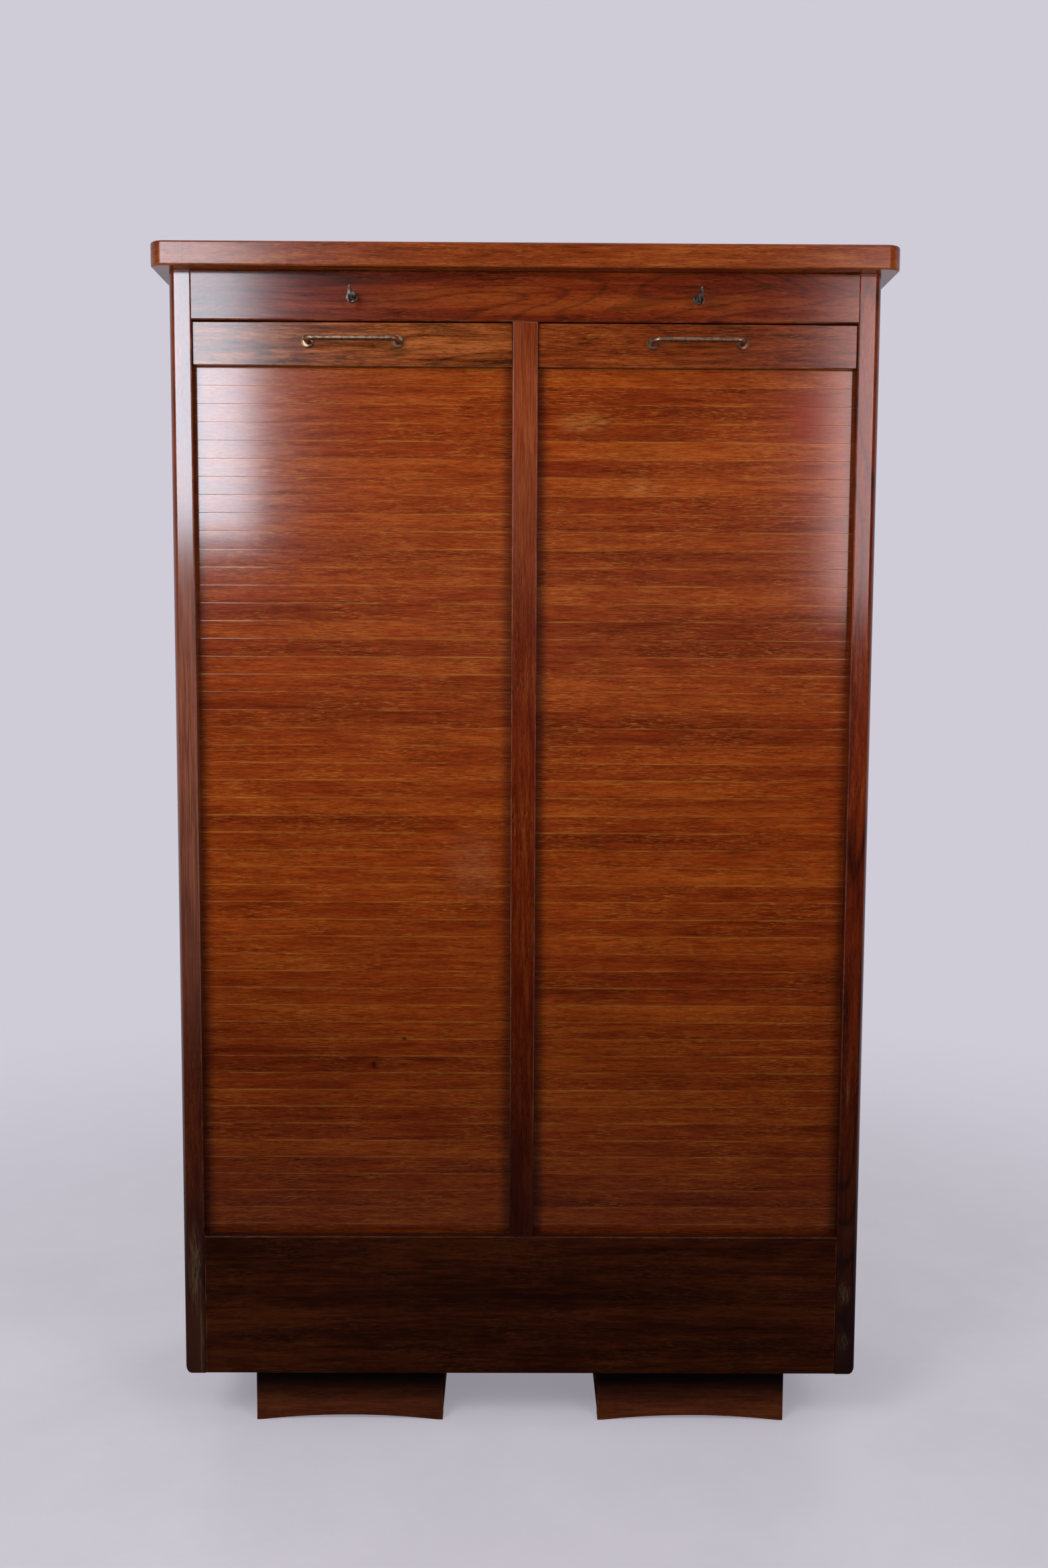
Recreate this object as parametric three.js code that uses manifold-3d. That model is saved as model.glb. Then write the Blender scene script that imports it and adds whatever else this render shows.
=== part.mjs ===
// Tambour door cabinet. Two slatted doors slide down behind a tall bottom panel and round behind
// the shelves. Each one locks into the rail above it with a key.
// Millimetres. x runs across, y from the front face inwards, z up from the floor.

import * as THREE from "three";
import { mergeVertices } from "three/addons/utils/BufferGeometryUtils.js";
import Module from "manifold-3d";

const wasm = await Module();
wasm.setup();

// Shared fits
const SEAT = 0.3; // hairline between pieces that are glued, screwed or housed
const OVERRUN = 4; // how far a cutter runs past the face that it opens
const ARC_STEPS = 7; // facets in a quarter turn of a wooden edge
const ROUND_SIDES = 28; // facets round a turned metal piece

// Body
const BODY_WIDTH = 950;
const BODY_DEPTH = 400;
const FOOT_HEIGHT = 95;
const PLINTH_HEIGHT = 200;
const OPENING_HEIGHT = 1258;
const RAIL_HEIGHT = 65;
const EDGE_ROUND = 10; // round of the body's outer long edges
const EDGE_EASE = 1.5; // small bevel on edges that hands touch

// Top board
const TOP_THICKNESS = 32;
const TOP_FRONT_OVERHANG = 23;
const TOP_SIDE_OVERHANG = 21;
const TOP_CORNER_RADIUS = 20;
const TOP_EASE = 3;

// Front frame and panels
const STILE_FACE = 30;
const MULLION_FACE = 34;
const FRAME_DEPTH = 17;
const RAIL_THICKNESS = 24;
const PLINTH_THICKNESS = 15;
const SIDE_THICKNESS = 24;
const BASE_THICKNESS = 18;
const BACK_THICKNESS = 6;
const BACK_INSET = 4;
const BACK_REBATE = 8; // how far the back is let into each side panel

// Curtain of slats glued on canvas
const SLAT_PITCH = 24.24;
const SLAT_GAP = 0.3;
const SLAT_BEVEL = 0.4;
const SLAT_THICKNESS = 9;
const CANVAS_THICKNESS = 1;
const CANVAS_FLAP = 25; // canvas glued up the back of the lead rail
const TAIL_LENGTH = 188; // curtain below the opening when the door is shut
const SLAT_END_GAP = 1.5; // between a slat's end and the bottom of its groove

// Track that the slat ends run in
const TRACK_CLEARANCE = 1; // on each face of the curtain
const TRACK_RADIUS = 100;
const TRACK_LIFT = 16; // wood between the track and the base board
const REAR_WALL = 5; // wood on each side of the rear run
const GROOVE_DEPTH = 8;

// Lead rail, the stiff top bar of each door
const LEAD_HEIGHT = 57;
const LEAD_SETBACK = 7; // of its face behind the front frame
const LEAD_TOP_GAP = 1;
const LEAD_SIDE_GAP = 0.7;
const LEAD_ROUND = 1.2;

// Shelves
const SHELF_THICKNESS = 16;
const SHELF_CLEARANCE = 5.5; // behind the curtain
const SHELF_HOUSING = 5;
const SHELF_SHOULDER = 4; // from a housed shelf's top down to its tongues
const SHELVES_PER_BAY = 3;
const BEARER_WIDTH = 12;
const BEARER_HEIGHT = 18;
const BEARER_SETBACK = 15;

// Feet
const FOOT_WIDTH = 270;
const FOOT_INSET = 92.5; // from the body's side to a foot's
const FOOT_RECESS = 50; // from the body's front and back
const FOOT_BOARD = 20;
const FOOT_TOE = 6; // flat at each end of the arch
const FOOT_ARCH = 7.5;

// Handle and its two rosettes
const HANDLE_SPAN = 120.5;
const HANDLE_DIAMETER = 7.3;
const HANDLE_STANDOUT = 26.5; // of the bar's centre line
const HANDLE_BEND = 9;
const HANDLE_RISE = 31.5; // of its axis above the lead rail's lower edge
const HANDLE_SIDES = 14;
const HANDLE_STEPS = 60;
const ROSETTE_DIAMETER = 16.6;
const ROSETTE_THICKNESS = 3.6;
const ROSETTE_RIM = 1.3;
const ROSETTE_DISH = 2; // depth of its middle behind its rim

// Lock, key and strike
const KEY_RISE = 30; // of the keyhole above the lock rail's lower edge
const COLLAR_DIAMETER = 15.4;
const COLLAR_STANDOUT = 2.2;
const COLLAR_LENGTH = 12;
const SLEEVE_DIAMETER = 12.6;
const PLUG_DIAMETER = 10;
const PLUG_INSET = 0.9; // of the plug's face behind the collar's
const RUNNING_GAP = 0.3; // between metal pieces that turn or slide on each other
const KEYWAY_WIDTH = 2.6;
const CASE_WIDTH = 32;
const CASE_HEIGHT = 55;
const CASE_DEPTH = 7.8;
const CASE_WALL = 1.4;
const BOLT_THICKNESS = 4;
const BOLT_HEAD_WIDTH = 16;
const BOLT_THROW = 9;
const BOLT_BAR = 3;
const LOBE_REACH = 9;
const LOBE_WIDTH = 3;
const NOTCH_SHARE = 0.7; // half the mouth of the bolt's notch, as a share of the lobe's reach
const STRIKE_WIDTH = 30;
const STRIKE_DEPTH = 9;
const STRIKE_THICKNESS = 1.2;
const STRIKE_GAP = 0.6; // round the bolt's head in its slot
const MORTISE_SPARE = 2; // left under the thrown bolt
const KEY_SHANK_DIAMETER = 5;
const KEY_REACH = 34; // of the bow's far end in front of the rail
const KEY_BOW_LENGTH = 20;
const KEY_BOW_HEIGHT = 24.5;
const KEY_BOW_BAND = 4.2;
const KEY_BOW_THICKNESS = 3.5; // in the middle, thinning upwards and downwards
const KEY_SHOULDER_DIAMETER = 7.4;
const KEY_SHOULDER_LENGTH = 2;
const KEY_BIT_LENGTH = 9;
const KEY_BIT_THICKNESS = 2;

// Places worked out from the sizes above
const BODY_HALF = BODY_WIDTH / 2;
const PLINTH_TOP = FOOT_HEIGHT + PLINTH_HEIGHT;
const RAIL_BOTTOM = PLINTH_TOP + OPENING_HEIGHT;
const BODY_TOP = RAIL_BOTTOM + RAIL_HEIGHT;
const STILE_INNER = BODY_HALF - STILE_FACE;
const SIDE_INNER = BODY_HALF - SIDE_THICKNESS;
const PARTITION_HALF = MULLION_FACE / 2 - (SIDE_INNER - STILE_INNER);
const BASE_TOP = FOOT_HEIGHT + BASE_THICKNESS;
const BACK_FRONT = BODY_DEPTH - BACK_INSET - BACK_THICKNESS;

// Each bay lies between a side panel and the partition, and is worked out about its own middle
const BAY_CENTRE = (SIDE_INNER + PARTITION_HALF) / 2;
const BAY_HALF = (SIDE_INNER - PARTITION_HALF) / 2;
const DOOR_HALF = (STILE_INNER - MULLION_FACE / 2) / 2;

const CURTAIN_THICKNESS = SLAT_THICKNESS + CANVAS_THICKNESS;
const GROOVE_HALF = CURTAIN_THICKNESS / 2 + TRACK_CLEARANCE;
const TRACK_FRONT = FRAME_DEPTH + GROOVE_HALF;
const TRACK_REAR = BACK_FRONT - REAR_WALL - GROOVE_HALF;
const TRACK_LOW = BASE_TOP + TRACK_LIFT + GROOVE_HALF;
const SLAT_FRONT = TRACK_FRONT - CURTAIN_THICKNESS / 2;
const CURTAIN_BACK = TRACK_FRONT + CURTAIN_THICKNESS / 2;
const CURTAIN_HALF = BAY_HALF + GROOVE_DEPTH - SLAT_END_GAP;

const LEAD_TOP = RAIL_BOTTOM - LEAD_TOP_GAP;
const LEAD_BOTTOM = LEAD_TOP - LEAD_HEIGHT;
const LEAD_BACK = SLAT_FRONT + SLAT_THICKNESS - SEAT;
const CURTAIN_TOP = LEAD_BOTTOM - SEAT;
const SLAT_COUNT = Math.round((CURTAIN_TOP - PLINTH_TOP + TAIL_LENGTH) / SLAT_PITCH);

const SHELF_FRONT = CURTAIN_BACK + SHELF_CLEARANCE;
const FALSE_BACK_REAR = TRACK_REAR - GROOVE_HALF - REAR_WALL;
const FALSE_BACK_FRONT = FALSE_BACK_REAR - BACK_THICKNESS;
const SHELF_BACK = FALSE_BACK_FRONT - SEAT;
const SHELF_CLEAR = (BODY_TOP - PLINTH_TOP - SHELVES_PER_BAY * SHELF_THICKNESS) / (SHELVES_PER_BAY + 1);
const SHELF_STEP = SHELF_CLEAR + SHELF_THICKNESS;
const FLOOR_LOW = PLINTH_TOP - SHELF_THICKNESS;
const MIDDLE_SHELF = Math.ceil(SHELVES_PER_BAY / 2);

const KEY_Z = RAIL_BOTTOM + KEY_RISE;
const CASE_FRONT = RAIL_THICKNESS - CASE_DEPTH;
const CASE_LOW = RAIL_BOTTOM + SEAT;
const BOLT_CENTRE = CASE_FRONT + CASE_DEPTH / 2;
const BOLT_FRONT = BOLT_CENTRE - BOLT_THICKNESS / 2;
const BOLT_BACK = BOLT_CENTRE + BOLT_THICKNESS / 2;
const PLUG_FRONT = PLUG_INSET - COLLAR_STANDOUT;
const FRONT_REACH = Math.max(KEY_REACH, TOP_FRONT_OVERHANG);

const SIDES = [
  ["left", -1],
  ["right", 1],
];

const QUARTER = Math.PI / 2;
const BEND_SHARE = 0.5523; // how far a curve's handles reach to its corner, to make it a round bend

// Surfaces
function finish(color, roughness, metalness) {
  return new THREE.MeshStandardMaterial({ color, roughness, metalness });
}

const topWood = finish(0x8c4a2a, 0.3, 0);
const frameWood = finish(0x7a3a22, 0.32, 0);
const slatWood = finish(0x9a4f26, 0.35, 0);
const innerWood = finish(0xa9743f, 0.55, 0);
const plywood = finish(0xb58a58, 0.7, 0);
const footWood = finish(0x6b361f, 0.45, 0);
const brass = finish(0x9c7a4c, 0.35, 0.9);
const nickel = finish(0x8f8578, 0.3, 0.9);
const steel = finish(0x6f6d6a, 0.45, 0.85);

// Outlines are lists of [u, v] pairs

// Points of an arc about (u, v) from one angle to another
function arc(u, v, radius, from, to, steps = ARC_STEPS) {
  return Array.from({ length: steps + 1 }, (_, k) => {
    const angle = from + ((to - from) * k) / steps;
    return [u + radius * Math.cos(angle), v + radius * Math.sin(angle)];
  });
}

// Points of an ellipse about (u, v)
function ellipse(u, v, radiusU, radiusV, sides = ROUND_SIDES) {
  return Array.from({ length: sides }, (_, k) => {
    const angle = (4 * QUARTER * k) / sides;
    return [u + radiusU * Math.cos(angle), v + radiusV * Math.sin(angle)];
  });
}

function circle(u, v, radius) {
  return ellipse(u, v, radius, radius);
}

// A pointed oval about (u, v): two arcs that meet above and below it
function lens(u, v, halfU, halfV) {
  const radius = (halfU * halfU + halfV * halfV) / (2 * halfU);
  const sweep = Math.asin(halfV / radius);
  const offset = radius - halfU;
  return [
    ...arc(u - offset, v, radius, -sweep, sweep).slice(0, -1),
    ...arc(u + offset, v, radius, 2 * QUARTER - sweep, 2 * QUARTER + sweep).slice(0, -1),
  ];
}

function rectangle(low, high) {
  return [low, [high[0], low[1]], high, [low[0], high[1]]];
}

// An outline for the right side, turned over for the left one
function turned(points, side) {
  return points.map(([u, v]) => [side * u, v]);
}

function shapeOf(points) {
  return new THREE.Shape(points.map(([u, v]) => new THREE.Vector2(u, v)));
}

// Solids

// A closed three.js geometry as a solid that can be cut and joined
function solidOf(geometry) {
  geometry.deleteAttribute("normal");
  geometry.deleteAttribute("uv");
  const merged = mergeVertices(geometry);
  const mesh = new wasm.Mesh({
    numProp: 3,
    vertProperties: new Float32Array(merged.attributes.position.array),
    triVerts: new Uint32Array(merged.index.array),
  });
  return new wasm.Manifold(mesh);
}

function box(low, high) {
  const size = high.map((value, k) => value - low[k]);
  const middle = high.map((value, k) => (value + low[k]) / 2);
  return solidOf(new THREE.BoxGeometry(...size).translate(...middle));
}

const ACROSS = new THREE.Vector3(1, 0, 0);
const INWARDS = new THREE.Vector3(0, 1, 0);
const UP = new THREE.Vector3(0, 0, 1);
const OUTWARDS = new THREE.Vector3(0, -1, 0);

// An outline in (y, z), pushed across from one x to another
function prismX(points, from, to) {
  const geometry = new THREE.ExtrudeGeometry(shapeOf(points), { depth: to - from, bevelEnabled: false });
  geometry.applyMatrix4(new THREE.Matrix4().makeBasis(INWARDS, UP, ACROSS));
  return solidOf(geometry.translate(from, 0, 0));
}

// An outline in (x, z), pushed inwards from one y to another
function prismY(points, from, to) {
  const geometry = new THREE.ExtrudeGeometry(shapeOf(points), { depth: to - from, bevelEnabled: false });
  geometry.applyMatrix4(new THREE.Matrix4().makeBasis(ACROSS, UP, OUTWARDS));
  return solidOf(geometry.translate(0, to, 0));
}

// An outline in (x, y), pushed up from one z to another
function prismZ(points, from, to) {
  const geometry = new THREE.ExtrudeGeometry(shapeOf(points), { depth: to - from, bevelEnabled: false });
  return solidOf(geometry.translate(0, 0, from));
}

// A profile of [radius, y] pairs turned about a line along y at height z
function turning(profile, z) {
  const points = profile.map(([radius, y]) => new THREE.Vector2(radius, y));
  return solidOf(new THREE.LatheGeometry(points, ROUND_SIDES).translate(0, 0, z));
}

// A named piece, with its own origin at its middle
function piece(name, solid, material) {
  const { vertProperties, triVerts } = solid.getMesh();
  const geometry = new THREE.BufferGeometry();
  geometry.setAttribute("position", new THREE.BufferAttribute(vertProperties, 3));
  geometry.setIndex(new THREE.BufferAttribute(triVerts, 1));
  geometry.computeBoundingBox();
  const middle = geometry.boundingBox.getCenter(new THREE.Vector3());
  geometry.translate(-middle.x, -middle.y, -middle.z);
  geometry.computeVertexNormals();
  const mesh = new THREE.Mesh(geometry, material);
  mesh.name = name;
  mesh.position.copy(middle);
  return mesh;
}

// Carcase

// The way that a curtain runs: down the front, under the shelves and up the back
function trackOutline() {
  const low = TRACK_LOW + TRACK_RADIUS;
  const front = TRACK_FRONT + TRACK_RADIUS;
  const rear = TRACK_REAR - TRACK_RADIUS;
  const top = BODY_TOP + OVERRUN;
  const outer = TRACK_RADIUS + GROOVE_HALF;
  const inner = TRACK_RADIUS - GROOVE_HALF;
  return [
    [front - outer, top],
    ...arc(front, low, outer, 2 * QUARTER, 3 * QUARTER),
    ...arc(rear, low, outer, 3 * QUARTER, 4 * QUARTER),
    [rear + outer, top],
    [rear + inner, top],
    ...arc(rear, low, inner, 4 * QUARTER, 3 * QUARTER),
    ...arc(front, low, inner, 3 * QUARTER, 2 * QUARTER),
    [front - inner, top],
  ];
}

// A slot across a bay, let into the panels on both sides for the tongues of a shelf that lies at low
function shelfHousing(side, low) {
  const reach = BAY_HALF + SHELF_HOUSING;
  const high = low + SHELF_THICKNESS - SHELF_SHOULDER;
  return box(
    [side * BAY_CENTRE - reach, SHELF_FRONT - SEAT, low - SEAT],
    [side * BAY_CENTRE + reach, SHELF_BACK + SEAT, high + SEAT],
  );
}

// All that is routed into the faces of one bay: both runs of its track and the housings of its fixed shelves
function bayRouting(side) {
  const reach = BAY_HALF + GROOVE_DEPTH;
  return prismX(trackOutline(), side * BAY_CENTRE - reach, side * BAY_CENTRE + reach)
    .add(shelfHousing(side, FLOOR_LOW))
    .add(shelfHousing(side, FLOOR_LOW + MIDDLE_SHELF * SHELF_STEP));
}

// Front view of a side: square inside, with its lower outer corner rounded
function sideOutline(inner, side) {
  const outline = [
    [inner, FOOT_HEIGHT],
    ...arc(BODY_HALF - EDGE_ROUND, FOOT_HEIGHT + EDGE_ROUND, EDGE_ROUND, -QUARTER, 0),
    [BODY_HALF, BODY_TOP - SEAT],
    [inner, BODY_TOP - SEAT],
  ];
  return turned(outline, side);
}

function sidePanel(word, side) {
  const blank = prismY(sideOutline(SIDE_INNER, side), FRAME_DEPTH + SEAT, BODY_DEPTH);
  const rebate = rectangle(
    [SIDE_INNER - OVERRUN, BACK_FRONT],
    [SIDE_INNER + BACK_REBATE, BODY_DEPTH + OVERRUN],
  );
  const solid = blank
    .subtract(bayRouting(side))
    .subtract(prismZ(turned(rebate, side), FOOT_HEIGHT - OVERRUN, BODY_TOP + OVERRUN));
  return piece(`${word}_side_panel`, solid, frameWood);
}

// Plan of a stile: its outer front edge is rounded and its inner one eased
function stilePlan(side) {
  const outline = [
    [STILE_INNER + EDGE_EASE, 0],
    ...arc(BODY_HALF - EDGE_ROUND, EDGE_ROUND, EDGE_ROUND, -QUARTER, 0),
    [BODY_HALF, FRAME_DEPTH],
    [STILE_INNER, FRAME_DEPTH],
    [STILE_INNER, EDGE_EASE],
  ];
  return turned(outline, side);
}

function frontStile(word, side) {
  const plan = prismZ(stilePlan(side), FOOT_HEIGHT - OVERRUN, BODY_TOP + OVERRUN);
  const front = prismY(sideOutline(STILE_INNER - OVERRUN, side), -OVERRUN, FRAME_DEPTH + OVERRUN);
  return piece(`${word}_front_stile`, plan.intersect(front), frameWood);
}

function centreMullion() {
  const half = MULLION_FACE / 2;
  const plan = [
    [EDGE_EASE - half, 0],
    [half - EDGE_EASE, 0],
    [half, EDGE_EASE],
    [half, FRAME_DEPTH],
    [-half, FRAME_DEPTH],
    [-half, EDGE_EASE],
  ];
  return piece("centre_mullion", prismZ(plan, PLINTH_TOP + SEAT, RAIL_BOTTOM - SEAT), frameWood);
}

// Its upper front corner is cut back to clear the lock rail
function centrePartition() {
  const blank = box(
    [-PARTITION_HALF, FRAME_DEPTH + SEAT, BASE_TOP + SEAT],
    [PARTITION_HALF, BACK_FRONT - SEAT, BODY_TOP - SEAT],
  );
  const corner = box(
    [-PARTITION_HALF - OVERRUN, FRAME_DEPTH - OVERRUN, RAIL_BOTTOM - SEAT],
    [PARTITION_HALF + OVERRUN, RAIL_THICKNESS + SEAT, BODY_TOP + OVERRUN],
  );
  const solid = blank.subtract(corner).subtract(bayRouting(-1)).subtract(bayRouting(1));
  return piece("centre_partition", solid, innerWood);
}

// A board between the stiles, its two front edges eased, standing from low to high
function frontBoard(thickness, low, high) {
  const half = STILE_INNER - SEAT;
  const section = [
    [EDGE_EASE, low],
    [thickness, low],
    [thickness, high],
    [EDGE_EASE, high],
    [0, high - EDGE_EASE],
    [0, low + EDGE_EASE],
  ];
  return prismX(section, -half, half);
}

// The recess for a lock case, open at the back and below, and the bore for its collar
function lockCut(side) {
  const centre = side * BAY_CENTRE;
  const half = CASE_WIDTH / 2 + SEAT;
  const recess = box(
    [centre - half, CASE_FRONT - SEAT, RAIL_BOTTOM - OVERRUN],
    [centre + half, RAIL_THICKNESS + OVERRUN, CASE_LOW + CASE_HEIGHT + SEAT],
  );
  const bore = prismY(circle(centre, KEY_Z, SLEEVE_DIAMETER / 2 + SEAT), -OVERRUN, RAIL_THICKNESS);
  return recess.add(bore);
}

function lockRail() {
  const blank = frontBoard(RAIL_THICKNESS, RAIL_BOTTOM, BODY_TOP - SEAT);
  return piece("lock_rail", blank.subtract(lockCut(-1)).subtract(lockCut(1)), frameWood);
}

function plinthPanel() {
  return piece("plinth_panel", frontBoard(PLINTH_THICKNESS, FOOT_HEIGHT, PLINTH_TOP), frameWood);
}

// The bottom of the body, cut back at its front corners to clear the stiles
function baseBoard() {
  const inner = STILE_INNER - SEAT;
  const outer = SIDE_INNER - SEAT;
  const front = PLINTH_THICKNESS + SEAT;
  const plan = [
    [-inner, front],
    [inner, front],
    [inner, FRAME_DEPTH + SEAT],
    [outer, FRAME_DEPTH + SEAT],
    [outer, BACK_FRONT - SEAT],
    [-outer, BACK_FRONT - SEAT],
    [-outer, FRAME_DEPTH + SEAT],
    [-inner, FRAME_DEPTH + SEAT],
  ];
  return piece("base_board", prismZ(plan, FOOT_HEIGHT, BASE_TOP), innerWood);
}

function backPanel() {
  const half = SIDE_INNER + BACK_REBATE - SEAT;
  const front = BACK_FRONT + SEAT;
  const solid = box([-half, front, FOOT_HEIGHT], [half, front + BACK_THICKNESS, BODY_TOP - SEAT]);
  return piece("back_panel", solid, plywood);
}

// The top board in plan: square at the wall and rounded at its front corners
function topPlan(inset) {
  const half = BODY_HALF + TOP_SIDE_OVERHANG - inset;
  const front = inset - TOP_FRONT_OVERHANG;
  const radius = TOP_CORNER_RADIUS - inset;
  return [
    ...arc(radius - half, front + radius, radius, 2 * QUARTER, 3 * QUARTER),
    ...arc(half - radius, front + radius, radius, 3 * QUARTER, 4 * QUARTER),
    [half, BODY_DEPTH - inset],
    [-half, BODY_DEPTH - inset],
  ];
}

// Its long edges are eased above and below
function topBoard() {
  const geometry = new THREE.ExtrudeGeometry(shapeOf(topPlan(TOP_EASE)), {
    depth: TOP_THICKNESS - 2 * TOP_EASE,
    bevelSize: TOP_EASE,
    bevelThickness: TOP_EASE,
    bevelSegments: 3,
  });
  return piece("top_board", solidOf(geometry.translate(0, 0, BODY_TOP + TOP_EASE)), topWood);
}

// Feet

// A foot's board seen from the front, with a shallow arch cut out of its lower edge
function footOutline() {
  const half = FOOT_WIDTH / 2;
  const span = half - FOOT_TOE;
  const radius = (span * span + FOOT_ARCH * FOOT_ARCH) / (2 * FOOT_ARCH);
  const sweep = Math.asin(span / radius);
  return [
    [-half, 0],
    ...arc(0, FOOT_ARCH - radius, radius, QUARTER + sweep, QUARTER - sweep, 2 * ARC_STEPS),
    [half, 0],
    [half, FOOT_HEIGHT - SEAT],
    [-half, FOOT_HEIGHT - SEAT],
  ];
}

// One foot: an open frame of four boards under the base board
function foot(word, side) {
  const group = new THREE.Group();
  const half = FOOT_WIDTH / 2;
  group.position.x = side * (BODY_HALF - FOOT_INSET - half);
  const rear = BODY_DEPTH - FOOT_RECESS;
  const front = prismY(footOutline(), FOOT_RECESS, FOOT_RECESS + FOOT_BOARD);
  const back = prismY(footOutline(), rear - FOOT_BOARD, rear);
  group.add(piece(`${word}_foot_front`, front, footWood));
  group.add(piece(`${word}_foot_back`, back, footWood));
  for (const [edge, way] of SIDES) {
    const plan = rectangle(
      [half - FOOT_BOARD, FOOT_RECESS + FOOT_BOARD + SEAT],
      [half, rear - FOOT_BOARD - SEAT],
    );
    const board = prismZ(turned(plan, way), FOOT_ARCH, FOOT_HEIGHT - SEAT);
    group.add(piece(`${word}_foot_${edge}_side`, board, footWood));
  }
  return group;
}

// Inside of one bay

function shelfBoard(half, low, high) {
  return box([-half, SHELF_FRONT, low], [half, SHELF_BACK, high]);
}

// A shelf between the panels, and if it is housed, with a tongue along each end
function shelf(name, low, housed) {
  const half = BAY_HALF - SEAT;
  const high = low + SHELF_THICKNESS;
  const board = shelfBoard(half, low, high);
  const tongues = shelfBoard(half + SHELF_HOUSING, low, high - SHELF_SHOULDER);
  return piece(name, housed ? board.add(tongues) : board, innerWood);
}

// Two strips under a loose shelf
function bearers(word, number, shelfLow) {
  return SIDES.map(([edge, way]) => {
    const plan = rectangle(
      [BAY_HALF - SEAT - BEARER_WIDTH, SHELF_FRONT + BEARER_SETBACK],
      [BAY_HALF - SEAT, SHELF_BACK - BEARER_SETBACK],
    );
    const top = shelfLow - SEAT;
    const solid = prismZ(turned(plan, way), top - BEARER_HEIGHT, top);
    return piece(`${word}_shelf_${number}_${edge}_bearer`, solid, innerWood);
  });
}

// The floor and the middle shelf are housed in the panels, and the other shelves lie on bearers
function shelving(word) {
  const group = new THREE.Group();
  group.add(shelf(`${word}_bay_floor`, FLOOR_LOW, true));
  for (let number = 1; number <= SHELVES_PER_BAY; number += 1) {
    const low = FLOOR_LOW + number * SHELF_STEP;
    const housed = number === MIDDLE_SHELF;
    group.add(shelf(`${word}_shelf_${number}`, low, housed));
    if (!housed) group.add(...bearers(word, number, low));
  }
  return group;
}

function falseBack(word) {
  const half = BAY_HALF - SEAT;
  const solid = box([-half, FALSE_BACK_FRONT, FLOOR_LOW], [half, FALSE_BACK_REAR, BODY_TOP - SEAT]);
  return piece(`${word}_false_back`, solid, plywood);
}

// Door

// Where the back of the canvas lies, measured along it from the top of the first slat
function canvasPoint(distance) {
  const radius = TRACK_RADIUS - CURTAIN_THICKNESS / 2;
  const straight = CURTAIN_TOP - TRACK_LOW - TRACK_RADIUS;
  if (distance <= straight) return [CURTAIN_BACK, CURTAIN_TOP - distance];
  const angle = 2 * QUARTER + (distance - straight) / radius;
  return [
    TRACK_FRONT + TRACK_RADIUS + radius * Math.cos(angle),
    TRACK_LOW + TRACK_RADIUS + radius * Math.sin(angle),
  ];
}

// One slat between two places on the canvas: straight, bevelled, and standing on the canvas's front
function slatOutline(start, end) {
  const length = Math.hypot(end[0] - start[0], end[1] - start[1]);
  const along = [(end[0] - start[0]) / length, (end[1] - start[1]) / length];
  const out = [along[1], -along[0]];
  const at = (distance, height) => [
    start[0] + along[0] * distance + out[0] * height,
    start[1] + along[1] * distance + out[1] * height,
  ];
  const near = SLAT_GAP / 2;
  const far = length - near;
  const face = CURTAIN_THICKNESS;
  return [
    at(near, CANVAS_THICKNESS),
    at(near, face - SLAT_BEVEL),
    at(near + SLAT_BEVEL, face),
    at(far - SLAT_BEVEL, face),
    at(far, face - SLAT_BEVEL),
    at(far, CANVAS_THICKNESS),
  ];
}

// Slats on their canvas, from the lead rail down the front track and into its bend
function curtain(word) {
  const joints = Array.from({ length: SLAT_COUNT + 1 }, (_, k) => canvasPoint(k * SLAT_PITCH));
  const slats = joints.slice(1).flatMap((end, k) => slatOutline(joints[k], end));
  const flapTop = CURTAIN_TOP + CANVAS_FLAP;
  const section = [
    [CURTAIN_BACK - CANVAS_THICKNESS, flapTop],
    ...slats,
    ...joints.slice(1).reverse(),
    [CURTAIN_BACK, flapTop],
  ];
  return piece(`${word}_curtain`, prismX(section, -CURTAIN_HALF, CURTAIN_HALF), slatWood);
}

// Section of the lead rail, with its two front edges rounded
function leadSection() {
  const inset = LEAD_SETBACK + LEAD_ROUND;
  return [
    [LEAD_BACK, LEAD_BOTTOM],
    [LEAD_BACK, LEAD_TOP],
    ...arc(inset, LEAD_TOP - LEAD_ROUND, LEAD_ROUND, QUARTER, 2 * QUARTER),
    ...arc(inset, LEAD_BOTTOM + LEAD_ROUND, LEAD_ROUND, 2 * QUARTER, 3 * QUARTER),
  ];
}

// The slot that the bolt drops into, from the lead rail's top down to depth
function boltSlot(depth) {
  const half = BOLT_HEAD_WIDTH / 2 + STRIKE_GAP;
  return box(
    [-half, BOLT_FRONT - STRIKE_GAP, LEAD_TOP - depth],
    [half, BOLT_BACK + STRIKE_GAP, LEAD_TOP + OVERRUN],
  );
}

// The strike plate's outside, grown on each side by a gap
function strikeBlank(gap) {
  return box(
    [-STRIKE_WIDTH / 2 - gap, BOLT_CENTRE - STRIKE_DEPTH / 2 - gap, LEAD_TOP - STRIKE_THICKNESS - gap],
    [STRIKE_WIDTH / 2 + gap, BOLT_CENTRE + STRIKE_DEPTH / 2 + gap, LEAD_TOP + (gap ? OVERRUN : 0)],
  );
}

// The bar that carries the handle, with a tongue at each end that runs in the track
function leadRail(word) {
  const half = DOOR_HALF - LEAD_SIDE_GAP;
  const tongue = box([-CURTAIN_HALF, SLAT_FRONT, LEAD_BOTTOM], [CURTAIN_HALF, LEAD_BACK, LEAD_TOP]);
  const mortise = LEAD_TOP_GAP + BOLT_THROW + MORTISE_SPARE;
  const solid = prismX(leadSection(), -half, half)
    .add(tongue)
    .subtract(boltSlot(mortise))
    .subtract(strikeBlank(SEAT));
  return piece(`${word}_lead_rail`, solid, frameWood);
}

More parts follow.
